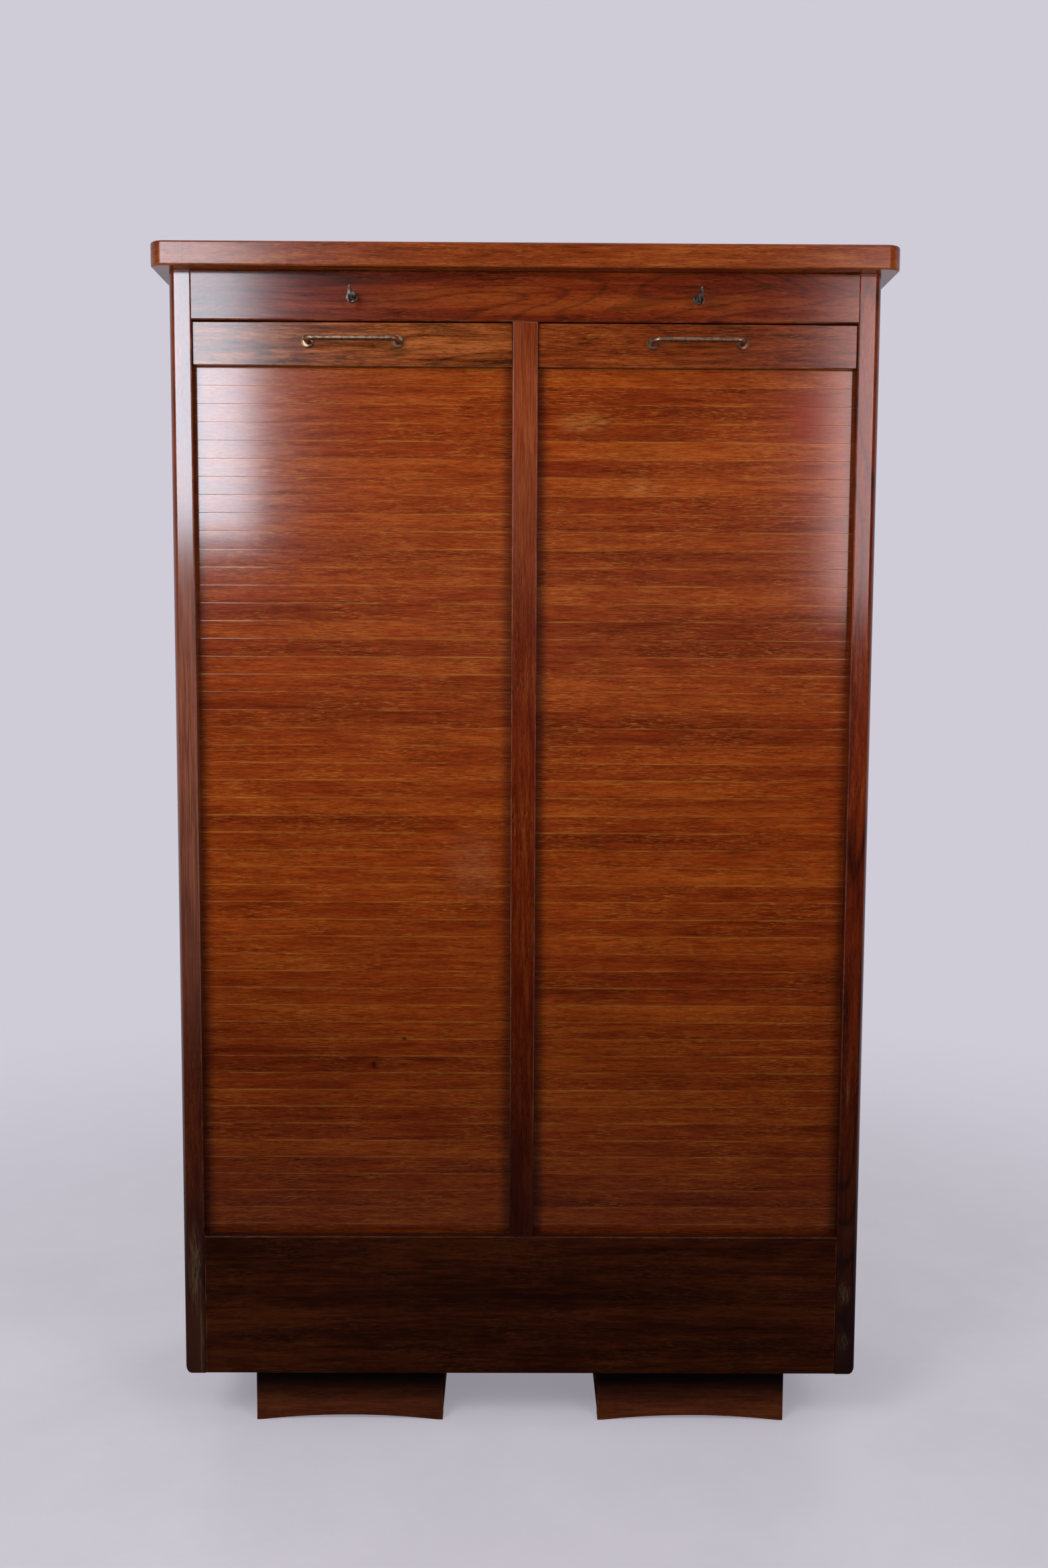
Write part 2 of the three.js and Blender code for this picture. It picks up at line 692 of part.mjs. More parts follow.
function strikePlate(word) {
  const solid = strikeBlank(0).subtract(boltSlot(STRIKE_THICKNESS + OVERRUN));
  return piece(`${word}_strike_plate`, solid, steel);
}

// The handle's centre line: out from the lead rail, along in front of it and back
class HandleLine extends THREE.CurvePath {
  constructor() {
    super();
    const half = HANDLE_SPAN / 2;
    const foot = LEAD_SETBACK - SEAT;
    const bar = LEAD_SETBACK - HANDLE_STANDOUT;
    const corner = (x, inwards) => new THREE.Vector3(x, inwards, 0);
    const towards = (from, middle) => from.clone().lerp(middle, BEND_SHARE);
    const bend = (from, middle, to) =>
      this.add(new THREE.CubicBezierCurve3(from, towards(from, middle), towards(to, middle), to));
    const run = (from, to) => this.add(new THREE.LineCurve3(from, to));
    run(corner(-half, foot), corner(-half, bar + HANDLE_BEND));
    bend(corner(-half, bar + HANDLE_BEND), corner(-half, bar), corner(HANDLE_BEND - half, bar));
    run(corner(HANDLE_BEND - half, bar), corner(half - HANDLE_BEND, bar));
    bend(corner(half - HANDLE_BEND, bar), corner(half, bar), corner(half, bar + HANDLE_BEND));
    run(corner(half, bar + HANDLE_BEND), corner(half, foot));
  }
}

function handle(word) {
  const section = ellipse(0, 0, HANDLE_DIAMETER / 2, HANDLE_DIAMETER / 2, HANDLE_SIDES);
  const geometry = new THREE.ExtrudeGeometry(shapeOf(section), {
    steps: HANDLE_STEPS,
    extrudePath: new HandleLine(),
  });
  geometry.translate(0, 0, LEAD_BOTTOM + HANDLE_RISE);
  return piece(`${word}_handle`, solidOf(geometry), brass);
}

// A small cup with a raised rim, round each leg of the handle
function rosette(word, edge, way) {
  const inner = HANDLE_DIAMETER / 2 + SEAT;
  const outer = ROSETTE_DIAMETER / 2;
  const rim = outer - ROSETTE_RIM;
  const bevel = ROSETTE_RIM / 2;
  const back = LEAD_SETBACK - SEAT;
  const front = back - ROSETTE_THICKNESS;
  const profile = [
    [inner, back],
    [inner, front + ROSETTE_DISH],
    [rim - bevel, front + ROSETTE_DISH],
    [rim, front],
    [outer - bevel, front],
    [outer, front + bevel],
    [outer, back],
    [inner, back],
  ];
  const solid = turning(profile, LEAD_BOTTOM + HANDLE_RISE);
  const result = piece(`${word}_handle_${edge}_rosette`, solid, brass);
  result.position.x += (way * HANDLE_SPAN) / 2;
  return result;
}

function door(word) {
  const group = new THREE.Group();
  group.add(curtain(word), leadRail(word), strikePlate(word), handle(word));
  for (const [edge, way] of SIDES) group.add(rosette(word, edge, way));
  return group;
}

// Lock

// A thin box let into the back of the rail, open where the plug goes in and where the bolt comes out
function lockCase(word) {
  const half = CASE_WIDTH / 2;
  const high = CASE_LOW + CASE_HEIGHT;
  const mouth = BOLT_HEAD_WIDTH / 2 + RUNNING_GAP;
  const shell = box([-half, CASE_FRONT, CASE_LOW], [half, RAIL_THICKNESS, high]);
  const inside = box(
    [CASE_WALL - half, CASE_FRONT + CASE_WALL, CASE_LOW + CASE_WALL],
    [half - CASE_WALL, RAIL_THICKNESS - CASE_WALL, high - CASE_WALL],
  );
  const slot = box(
    [-mouth, CASE_FRONT + CASE_WALL, CASE_LOW - OVERRUN],
    [mouth, RAIL_THICKNESS - CASE_WALL, CASE_LOW + OVERRUN],
  );
  const hole = prismY(circle(0, KEY_Z, PLUG_DIAMETER / 2 + RUNNING_GAP), CASE_FRONT - OVERRUN, BOLT_CENTRE);
  const solid = shell.subtract(inside).subtract(slot).subtract(hole);
  return piece(`${word}_lock_case`, solid, steel);
}

// The ring on the rail's face, with the sleeve behind it that the plug turns in
function lockCollar(word) {
  const inner = PLUG_DIAMETER / 2 + RUNNING_GAP;
  const sleeve = SLEEVE_DIAMETER / 2;
  const rim = COLLAR_DIAMETER / 2;
  const bevel = COLLAR_STANDOUT / 3;
  const profile = [
    [inner, COLLAR_LENGTH],
    [inner, -COLLAR_STANDOUT],
    [rim - bevel, -COLLAR_STANDOUT],
    [rim, bevel - COLLAR_STANDOUT],
    [rim, -SEAT],
    [sleeve, -SEAT],
    [sleeve, COLLAR_LENGTH],
    [inner, COLLAR_LENGTH],
  ];
  return piece(`${word}_lock_collar`, turning(profile, KEY_Z), nickel);
}

// The barrel that the key turns: a keyway along all of it and a lobe at its inner end
function lockPlug(word) {
  const radius = PLUG_DIAMETER / 2;
  const half = KEYWAY_WIDTH / 2;
  const barrel = prismY(circle(0, KEY_Z, radius), PLUG_FRONT, BOLT_BACK);
  const lobe = prismY(
    rectangle([-LOBE_WIDTH / 2, KEY_Z - LOBE_REACH], [LOBE_WIDTH / 2, KEY_Z - radius / 2]),
    BOLT_FRONT,
    BOLT_BACK,
  );
  const bore = prismY(
    circle(0, KEY_Z, KEY_SHANK_DIAMETER / 2 + RUNNING_GAP),
    PLUG_FRONT - OVERRUN,
    BOLT_FRONT,
  );
  const slot = prismY(
    rectangle([-half, KEY_Z - radius - OVERRUN], [half, KEY_Z]),
    PLUG_FRONT - OVERRUN,
    BOLT_FRONT,
  );
  return piece(`${word}_lock_plug`, barrel.subtract(bore).subtract(slot).add(lobe), nickel);
}

// The bolt: a plate round the plug, with a notch that the lobe drives and a head that drops into the strike
function lockBolt(word) {
  const head = BOLT_HEAD_WIDTH / 2;
  const clear = LOBE_REACH + 2 * RUNNING_GAP;
  const right = PLUG_DIAMETER / 2 + LOBE_WIDTH / 2;
  const edge = CASE_WIDTH / 2 - CASE_WALL - RUNNING_GAP;
  const low = KEY_Z - clear - BOLT_BAR;
  const high = CASE_LOW + CASE_HEIGHT - CASE_WALL - RUNNING_GAP;
  const outline = [
    [-head, CASE_LOW],
    [head, CASE_LOW],
    [head, low],
    [edge, low],
    [edge, high],
    [-edge, high],
    [-edge, low],
    [-head, low],
  ];
  const windowArea = rectangle([-clear, KEY_Z - clear], [right, KEY_Z + clear + BOLT_THROW]);
  const meeting = KEY_Z + (3 * BOLT_THROW) / 4; // the lobe gets there in three quarters of a turn
  const mouth = NOTCH_SHARE * LOBE_REACH;
  const root = LOBE_WIDTH / 2 + 2 * RUNNING_GAP;
  const notch = [
    [right - RUNNING_GAP, meeting - mouth],
    [right, meeting - mouth],
    [clear, meeting - root],
    [clear, meeting + root],
    [right, meeting + mouth],
    [right - RUNNING_GAP, meeting + mouth],
  ];
  const solid = prismY(outline, BOLT_FRONT, BOLT_BACK)
    .subtract(prismY(windowArea, BOLT_FRONT - OVERRUN, BOLT_BACK + OVERRUN))
    .subtract(prismY(notch, BOLT_FRONT - OVERRUN, BOLT_BACK + OVERRUN));
  return piece(`${word}_lock_bolt`, solid, steel);
}

// The key's bow, an oval ring that stands upright in line with its bit
function keyBow() {
  const centre = KEY_BOW_LENGTH / 2 - KEY_REACH;
  const length = KEY_BOW_LENGTH / 2;
  const height = KEY_BOW_HEIGHT / 2;
  const half = KEY_BOW_THICKNESS / 2;
  const outside = prismX(ellipse(centre, KEY_Z, length, height), -half, half);
  const inside = ellipse(centre, KEY_Z, length - KEY_BOW_BAND, height - KEY_BOW_BAND);
  const front = lens(0, KEY_Z, half, height + KEY_BOW_BAND / 2);
  return outside
    .subtract(prismX(inside, -half - OVERRUN, half + OVERRUN))
    .intersect(prismY(front, -KEY_REACH - OVERRUN, 0));
}

function key(word) {
  const radius = KEY_SHANK_DIAMETER / 2;
  const shoulder = KEY_SHOULDER_DIAMETER / 2;
  const tip = BOLT_FRONT - RUNNING_GAP;
  const neck = KEY_BOW_LENGTH - KEY_BOW_BAND / 2 - KEY_REACH;
  const collar = PLUG_FRONT - RUNNING_GAP;
  const profile = [
    [0, neck],
    [radius, neck],
    [radius, collar - KEY_SHOULDER_LENGTH],
    [shoulder, collar - KEY_SHOULDER_LENGTH],
    [shoulder, collar],
    [radius, collar],
    [radius, tip],
    [0, tip],
  ];
  const half = KEY_BIT_THICKNESS / 2;
  const bit = box(
    [-half, tip - KEY_BIT_LENGTH, KEY_Z - PLUG_DIAMETER / 2],
    [half, tip, KEY_Z - radius / 2],
  );
  return piece(`${word}_key`, turning(profile, KEY_Z).add(bit).add(keyBow()), nickel);
}

// One bay, about its own middle: shelving, door, lock and key
function bay(word, side) {
  const group = new THREE.Group();
  group.position.x = side * BAY_CENTRE;
  group.add(shelving(word), falseBack(word), door(word));
  group.add(lockCase(word), lockCollar(word), lockPlug(word), lockBolt(word), key(word));
  return group;
}

// The whole cabinet, with its origin under the middle of its outline
function cabinet() {
  const group = new THREE.Group();
  group.position.y = (FRONT_REACH - BODY_DEPTH) / 2;
  group.add(topBoard(), lockRail(), plinthPanel(), baseBoard(), backPanel());
  group.add(centrePartition(), centreMullion());
  for (const [word, side] of SIDES) {
    group.add(sidePanel(word, side), frontStile(word, side), foot(word, side), bay(word, side));
  }
  return group;
}

const group = cabinet();

export default group;
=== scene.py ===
"""Looks for the tambour door cabinet: its woods, metals and slatted curtains, with a camera and studio light.

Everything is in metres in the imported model's own frame: x runs across, y from the front inwards and z
up from the floor, with the origin under the middle of the cabinet. Numbers that stand bare in the shader
code are a noise's turns to the metre and its detail, and the limits between which a noise is eased.
"""

import logging
import math
from dataclasses import dataclass, field, replace
from enum import Enum

import bmesh
import bpy
from bmesh.types import BMesh, BMLayerItem
from bpy.types import ID, Material, Node, NodeSocket as Socket, NodeTree, Object
from mathutils import Matrix, Vector


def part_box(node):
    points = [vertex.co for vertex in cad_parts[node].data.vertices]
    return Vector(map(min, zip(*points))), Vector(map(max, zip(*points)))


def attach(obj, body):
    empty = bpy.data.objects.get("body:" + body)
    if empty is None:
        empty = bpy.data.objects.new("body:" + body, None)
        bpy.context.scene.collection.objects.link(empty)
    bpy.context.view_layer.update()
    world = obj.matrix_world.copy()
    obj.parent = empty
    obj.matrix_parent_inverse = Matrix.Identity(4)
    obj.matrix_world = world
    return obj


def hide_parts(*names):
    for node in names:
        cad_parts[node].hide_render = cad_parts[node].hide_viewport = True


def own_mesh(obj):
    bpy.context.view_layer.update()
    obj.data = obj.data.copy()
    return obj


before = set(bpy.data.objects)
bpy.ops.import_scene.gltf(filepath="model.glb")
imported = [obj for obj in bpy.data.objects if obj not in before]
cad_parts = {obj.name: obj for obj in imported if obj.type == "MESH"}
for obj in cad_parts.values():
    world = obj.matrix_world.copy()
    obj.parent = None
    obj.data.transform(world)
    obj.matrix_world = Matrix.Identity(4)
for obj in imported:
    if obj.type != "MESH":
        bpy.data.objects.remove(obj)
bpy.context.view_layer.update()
LOG = logging.getLogger("tambour_cabinet")
# The attribute that holds a curtain's own coordinates, and how close two corners are that are one.
LIE = "lie"
SAME = 1e-6

Pair = tuple[float, float]
Triple = tuple[float, float, float]
Colour = tuple[float, float, float, float]
Value = Socket | float
Sockets = bpy.types.bpy_prop_collection


class Side(Enum):
    """The two bays, with the sign of their place across the cabinet."""

    LEFT = -1
    RIGHT = 1

    @property
    def word(self) -> str:
        """The word that starts the names of this side's nodes."""
        return self.name.lower()


class Grain(Enum):
    """Which way the grain runs: the coordinate along it, then the two across it."""

    ACROSS = (0, 2, 1)
    UPRIGHT = (2, 0, 1)
    INWARDS = (1, 0, 2)


def tone(code: str) -> Colour:
    """Turns a screen colour, of six hexadecimal digits, into the shader's own scale."""
    parts = [int(code[k : k + 2], 16) / 255 for k in (0, 2, 4)]
    return (*(p / 12.92 if p <= 0.04045 else ((p + 0.055) / 1.055) ** 2.4 for p in parts), 1.0)


class Graph:
    """Adds and joins the nodes of one material, world or node group."""

    def __init__(self, tree: NodeTree) -> None:
        """Takes the tree that the nodes go into."""
        self.tree = tree

    def node(self, kind: str, inputs: dict | None = None, **settings: object) -> Node:
        """Adds a node.

        Args:
            kind: The node's type in Blender.
            inputs: Its inputs, as for feed().
            **settings: The node's own properties.

        Returns:
            The new node.
        """
        made = self.tree.nodes.new(kind)
        for name, value in settings.items():
            setattr(made, name, value)
        self.feed(made, inputs or {})
        return made

    def feed(self, node: Node, inputs: dict) -> None:
        """Gives a node its inputs.

        Args:
            node: The node.
            inputs: Socket names or numbers, each with a plain value or the socket that feeds it.
        """
        for key, value in inputs.items():
            if isinstance(value, Socket):
                self.tree.links.new(value, node.inputs[key])
            else:
                node.inputs[key].default_value = value

    def math(self, operation: str, first: Value, second: Value = 0.0, third: Value = 0.0) -> Socket:
        """Works out one sum of up to three values."""
        inputs = {0: first, 1: second, 2: third}
        return self.node("ShaderNodeMath", inputs, operation=operation).outputs[0]

    def vector(self, operation: str, first: object, second: object) -> Socket:
        """Works out one sum of two vectors."""
        return self.node("ShaderNodeVectorMath", {0: first, 1: second}, operation=operation).outputs[0]

    def remap(self, value: Value, low: Value, high: Value, start: Value = 0.0, end: Value = 1.0) -> Socket:
        """Eases a value that goes from low to high into one that goes from start to end."""
        inputs = {0: value, 1: low, 2: high, 3: start, 4: end}
        return self.node("ShaderNodeMapRange", inputs, interpolation_type="SMOOTHSTEP").outputs[0]

    def mix(self, share: Value, first: object, second: object, blend: str = "MIX") -> Socket:
        """Lays a share of the second colour over the first, by the kind of blend that is named."""
        inputs = {0: share, 6: first, 7: second}
        return self.node("ShaderNodeMix", inputs, data_type="RGBA", blend_type=blend).outputs[2]

    def noise(self, place: Socket, stretch: Triple, detail: float = 2.0, roughness: float = 0.5) -> Socket:
        """Smooth noise, with so many turns to the metre along each coordinate."""
        scaled = self.vector("MULTIPLY", place, stretch)
        inputs = {"Vector": scaled, "Scale": 1.0, "Detail": detail, "Roughness": roughness}
        return self.node("ShaderNodeTexNoise", inputs).outputs[0]

    def tint(self, colour: object, code: str, mask: Socket, strength: float) -> Socket:
        """Lays a tone over a colour, as strongly as is said, where a mask shows it."""
        return self.mix(self.math("MULTIPLY", mask, strength), colour, tone(code))

    def bump(self, height: Socket, strength: float, distance: float) -> Socket:
        """The normals of a low relief."""
        inputs = {"Strength": strength, "Distance": distance, "Height": height}
        return self.node("ShaderNodeBump", inputs).outputs[0]

    def ramp(self, value: Socket, stops: list[tuple[float, str]]) -> Socket:
        """Turns a value into a colour between tones.

        Args:
            value: The value, from 0 to 1.
            stops: Each tone with its place along the values, in order.

        Returns:
            The colour.
        """
        made = self.node("ShaderNodeValToRGB", {0: value})
        band = made.color_ramp
        band.elements[0].position, band.elements[0].color = stops[0][0], tone(stops[0][1])
        band.elements[1].position, band.elements[1].color = stops[-1][0], tone(stops[-1][1])
        for position, code in stops[1:-1]:
            band.elements.new(position).color = tone(code)
        return made.outputs[0]

    def place(self) -> Socket:
        """Where a point of the piece is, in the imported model's frame."""
        return self.node("ShaderNodeTexCoord").outputs["Object"]

    def lie(self) -> Socket:
        """Where a point of a curtain is: across it, down along it and through it."""
        return self.node("ShaderNodeAttribute", attribute_name=LIE).outputs["Vector"]

    def reach(self, offset: Socket) -> Socket:
        """How long a vector is."""
        return self.node("ShaderNodeVectorMath", {0: offset}, operation="LENGTH").outputs["Value"]

    def split(self, place: Socket) -> list[Socket]:
        """The three coordinates of a place."""
        return list(self.node("ShaderNodeSeparateXYZ", {0: place}).outputs)

    def join(self, parts: list[Value]) -> Socket:
        """A place from its three coordinates."""
        return self.node("ShaderNodeCombineXYZ", dict(enumerate(parts))).outputs[0]


class Effect(Graph):
    """The graph of a node group that pieces share, built the first time that it is asked for."""

    name = ""
    kind = "ShaderNodeTree"
    takes: dict[str, str] = {}
    gives: dict[str, str] = {}

    def __init__(self) -> None:
        """Finds or makes the group."""
        found = bpy.data.node_groups.get(self.name)
        super().__init__(found or bpy.data.node_groups.new(self.name, self.kind))
        if found is None:
            for way, sockets in (("INPUT", self.takes), ("OUTPUT", self.gives)):
                for name, kind in sockets.items():
                    self.tree.interface.new_socket(name=name, in_out=way, socket_type=f"NodeSocket{kind}")
            self.given = self.node("NodeGroupInput").outputs
            self.node("NodeGroupOutput", self.build())

    def used(self, graph: Graph, inputs: dict) -> Sockets:
        """Places the group in a material, and gives its outputs."""
        return graph.node("ShaderNodeGroup", inputs, node_tree=self.tree).outputs

    def build(self) -> dict[str, Socket]:
        """What feeds each of the group's outputs, with the nodes for it."""
        raise NotImplementedError


class GrainEffect(Effect):
    """The grain of a board: broad tones, streaks, fibres, short dark pores, short pale flecks and figure."""

    name = "board grain"
    takes = {"Place": "Vector", "Seed": "Float", "Wander": "Float"}
    gives = dict.fromkeys(("Tone", "Streak", "Fibre", "Pore", "Fleck", "Figure"), "Float")

    def build(self) -> dict[str, Socket]:
        """Makes the group's nodes, with the grain running along the place's first coordinate.

        Returns:
            What feeds each of the group's outputs.
        """
        shift = self.vector("MULTIPLY", self.join([self.given["Seed"]] * 3), (13.7, 7.1, 3.3))
        seeded = self.vector("ADD", self.given["Place"], shift)
        drift = self.math("SUBTRACT", self.noise(seeded, (2.4, 13, 13), 2), 0.5)
        drift = self.math("MULTIPLY", drift, self.given["Wander"])
        place = self.vector("ADD", seeded, self.join([0.0, drift, drift]))
        pore = self.noise(place, (95, 900, 900), 1)
        fleck = self.noise(self.vector("ADD", place, (3.1, 1.7, 5.3)), (75, 1050, 1050), 1)
        patch = self.noise(seeded, (9, 24, 24), 2)
        contour = self.math("MULTIPLY", self.noise(place, (2.1, 15, 15), 1), 11)
        ridge = self.math("PINGPONG", contour, 0.5)
        return {
            "Tone": self.noise(place, (2.2, 34, 34), 2),
            "Streak": self.noise(place, (14, 190, 190), 3, 0.6),
            "Fibre": self.noise(place, (42, 760, 760), 3, 0.75),
            "Pore": self.remap(pore, 0.57, 0.68),
            "Fleck": self.math("MULTIPLY", self.remap(fleck, 0.56, 0.68), self.remap(patch, 0.36, 0.62)),
            "Figure": self.remap(ridge, 0.2, 0.0),
        }


class WearEffect(Effect):
    """Wear along a board's edges, strongest at the edge itself and broken up along it."""

    name = "edge wear"
    takes = {"Place": "Vector", "Low": "Vector", "High": "Vector", "Width": "Float", "Seed": "Float"}
    gives = {"Mask": "Float"}

    def build(self) -> dict[str, Socket]:
        """Makes the group's nodes. The distance to an edge is the middle one of those to three faces.

        Returns:
            What feeds each of the group's outputs.
        """
        below = self.split(self.vector("SUBTRACT", self.given["Place"], self.given["Low"]))
        above = self.split(self.vector("SUBTRACT", self.given["High"], self.given["Place"]))
        near = [self.math("MINIMUM", a, b) for a, b in zip(below, above)]
        lesser = self.math("MINIMUM", near[0], near[1])
        greater = self.math("MAXIMUM", near[0], near[1])
        edge = self.math("MAXIMUM", lesser, self.math("MINIMUM", greater, near[2]))
        seeded = self.vector("ADD", self.given["Place"], self.join([self.given["Seed"]] * 3))
        rough = self.noise(seeded, (45, 45, 45), 4, 0.65)
        reach = self.math("MULTIPLY", self.given["Width"], self.remap(rough, 0.3, 0.7, 0.25, 1.6))
        worn = self.remap(edge, reach, 0.0)
        return {"Mask": self.math("MULTIPLY", worn, self.remap(rough, 0.34, 0.58, 0.25, 1.0))}


class PatchEffect(Effect):
    """One stained, rubbed or scuffed patch round a place, or a patch of painted shade or sheen, broken up
    inside.
    """

    name = "patch"
    takes = dict.fromkeys(("Place", "Centre", "Reach", "Stretch"), "Vector")
    gives = {"Mask": "Float"}

    def build(self) -> dict[str, Socket]:
        """Makes the group's nodes.

        Returns:
            What feeds each of the group's outputs.
        """
        offset = self.vector("SUBTRACT", self.given["Place"], self.given["Centre"])
        apart = self.reach(self.vector("DIVIDE", offset, self.given["Reach"]))
        stretched = self.vector("MULTIPLY", self.given["Place"], self.given["Stretch"])
        rough = self.noise(stretched, (1, 1, 1), 4, 0.7)
        inside = self.remap(apart, 1.0, 0.2)
        return {"Mask": self.math("MULTIPLY", inside, self.remap(rough, 0.38, 0.62))}


class AgeEffect(Effect):
    """Darker towards the floor, partly old varnish gone darker and partly painted shade for the light that falls
    off below, and a little blotchy.
    """

    name = "darkened varnish"
    takes = {"Height": "Float", "Place": "Vector", "Low": "Float"}
    gives = {"Shade": "Float"}

    def build(self) -> dict[str, Socket]:
        """Makes the group's nodes.

        Returns:
            What feeds each of the group's outputs.
        """
        # Painted shade: the colour darkens towards the floor, partly for old varnish and partly for the falloff
        # of the light below.
        rise = self.remap(self.given["Height"], 0.05, 1.1, self.given["Low"], 1.0)
        blotch = self.remap(self.noise(self.given["Place"], (4, 9, 9), 3), 0.3, 0.7, 0.92, 1.06)
        return {"Shade": self.math("MULTIPLY", rise, blotch)}


class TarnishEffect(Effect):
    """Tarnish in blotches on metal, with fine scratches."""

    name = "tarnish"
    takes = {"Place": "Vector", "Seed": "Float"}
    gives = {"Tarnish": "Float", "Scratch": "Float"}

    def build(self) -> dict[str, Socket]:
        """Makes the group's nodes.

        Returns:
            What feeds each of the group's outputs.
        """
        seeded = self.vector("ADD", self.given["Place"], self.join([self.given["Seed"]] * 3))
        blotch = self.noise(seeded, (160, 160, 160), 5, 0.65)
        scratch = self.noise(seeded, (240, 2600, 2600), 2)
        return {"Tarnish": self.remap(blotch, 0.36, 0.64), "Scratch": self.remap(scratch, 0.55, 0.7)}


class SmoothEffect(Effect):
    """Geometry nodes that shade a mesh smooth, but for its sharp edges."""

    name = "smooth round faces"
    kind = "GeometryNodeTree"
    takes = {"Geometry": "Geometry"}
    gives = takes
    limit = math.radians(32)

    def build(self) -> dict[str, Socket]:
        """Makes the group's nodes.

        Returns:
            What feeds each of the group's outputs.
        """
        inputs = {"Geometry": self.given["Geometry"], "Name": "custom_normal"}
        mesh = self.node("GeometryNodeRemoveAttribute", inputs).outputs[0]
        bend = self.node("GeometryNodeInputMeshEdgeAngle").outputs[0]
        flat = self.node("FunctionNodeCompare", {0: bend, 1: self.limit}, operation="LESS_EQUAL").outputs[0]
        for domain, smooth in (("EDGE", flat), ("FACE", True)):
            inputs = {"Geometry": mesh, "Shade Smooth": smooth}
            mesh = self.node("GeometryNodeSetShadeSmooth", inputs, domain=domain).outputs[0]
        return {"Geometry": mesh}


class Surface(Graph):
    """The graph of a new material."""

    def __init__(self, name: str) -> None:
        """Makes the material, which starts with a Principled shader.

        Args:
            name: The material's name.
        """
        self.material = bpy.data.materials.new(name)
        self.material.use_nodes = True
        super().__init__(self.material.node_tree)
        self.shader = self.tree.nodes["Principled BSDF"]


@dataclass(frozen=True)
class Patch:
    """A stained, rubbed or scuffed place on a board, or a place of painted shade or sheen, broken up by a
    stretched noise.
    """

    centre: Triple
    reach: Triple
    tint: str
    strength: float
    stretch: Triple


@dataclass(frozen=True)
class WoodFinish:
    """Varnished oak. The tones are screen colours, and the strengths are shares from 0 to 1."""

    name: str
    dark: str
    body: str
    light: str
    pore: str = "1c0a04"
    fleck: str = "c07a34"
    worn: str = "a9714a"
    grain: Grain = Grain.ACROSS
    seed: float = 0.0
    wander: float = 0.006
    tones: float = 1.2
    streaks: float = 1.0
    fibres: float = 0.5
    pores: float = 0.45
    flecks: float = 0.35
    figure: float = 0.0
    wear: float = 0.5
    wear_width: float = 0.0016
    low_shade: float = 0.72
    roughness: float = 0.16
    gloss: float = 0.9
    relief: float = 0.08
    relief_depth: float = 0.00012
    pore_dull: float = 0.02
    pore_fall: float = 0.15
    streak_dull: float = 0.06
    streak_rise: float = 0.6
    patches: tuple[Patch, ...] = ()

    def board(self, node: str) -> Material:
        """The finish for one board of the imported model.

        Args:
            node: The board's name, which gives the place of its edges.

        Returns:
            The material.
        """
        graph = Surface(f"{self.name}.{node}")
        place = graph.place()
        parts = graph.split(place)
        lie = graph.join([parts[k] for k in self.grain.value])
        colour, grain = self.colours(graph, lie, 0.5)
        low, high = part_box(node)
        inputs = {"Place": place, "Low": low, "High": high, "Width": self.wear_width, "Seed": self.seed}
        colour = graph.tint(colour, self.worn, WearEffect().used(graph, inputs)["Mask"], self.wear)
        self.finish(graph, self.aged(graph, colour, place, parts[2]), grain)
        return graph.material

    def colours(self, graph: Graph, lie: Socket, lightness: Value) -> tuple[Socket, Sockets]:
        """Lays the grain's tones over each other.

        Args:
            graph: The material's graph.
            lie: The place, with its first coordinate along the grain.
            lightness: How light the board is before its grain, about 0.5.

        Returns:
            The colour, and the outputs of the grain.
        """
        grain = GrainEffect().used(graph, {"Place": lie, "Seed": self.seed, "Wander": self.wander})
        value = lightness
        for word, strength in (("Tone", self.tones), ("Streak", self.streaks), ("Fibre", self.fibres)):
            swing = graph.math("SUBTRACT", grain[word], 0.5)
            value = graph.math("MULTIPLY_ADD", swing, strength, value)
        colour = graph.ramp(value, [(0.15, self.dark), (0.5, self.body), (0.85, self.light)])
        layers = (("Figure", self.figure, self.pore), ("Pore", self.pores, self.pore))
        for word, strength, code in (*layers, ("Fleck", self.flecks, self.fleck)):
            if strength:
                colour = graph.tint(colour, code, grain[word], strength)
        return colour, grain

    def aged(self, graph: Graph, colour: Socket, place: Socket, height: Socket) -> Socket:
        """Adds the patches, some of them painted shade or sheen, and the darkening towards the floor, which is
        partly old varnish and partly painted shade.

        Args:
            graph: The material's graph.
            colour: The new wood's colour.
            place: Where a point is.
            height: How far above the floor it is.

        Returns:
            The aged colour, with its painted shade.
        """
        for patch in self.patches:
            inputs = {"Place": place, "Centre": patch.centre, "Reach": patch.reach, "Stretch": patch.stretch}
            colour = graph.tint(colour, patch.tint, PatchEffect().used(graph, inputs)["Mask"], patch.strength)
        inputs = {"Height": height, "Place": place, "Low": self.low_shade}
        shade = AgeEffect().used(graph, inputs)["Shade"]
        return graph.mix(1.0, colour, graph.join([shade] * 3), "MULTIPLY")

    def finish(self, graph: Surface, colour: Socket, grain: Sockets) -> None:
        """Feeds the shader with the colour, the varnish's gloss and the relief of the pores.

        Args:
            graph: The material's graph.
            colour: The aged colour, with its painted shade.
            grain: The outputs of the grain.
        """
        pore, streak = grain["Pore"], grain["Streak"]
        dull = graph.math("MULTIPLY_ADD", pore, self.pore_dull, self.roughness)
        dull = graph.math("MULTIPLY_ADD", graph.math("SUBTRACT", streak, 0.5), self.streak_dull, dull)
        height = graph.math("MULTIPLY_ADD", streak, self.streak_rise, grain["Fibre"])
        height = graph.math("MULTIPLY_ADD", pore, -self.pore_fall, height)
        bump = graph.bump(height, self.relief, self.relief_depth)
        inputs = {"Base Color": colour, "Roughness": dull, "Normal": bump, "Specular IOR Level": self.gloss}
        graph.feed(graph.shader, inputs)


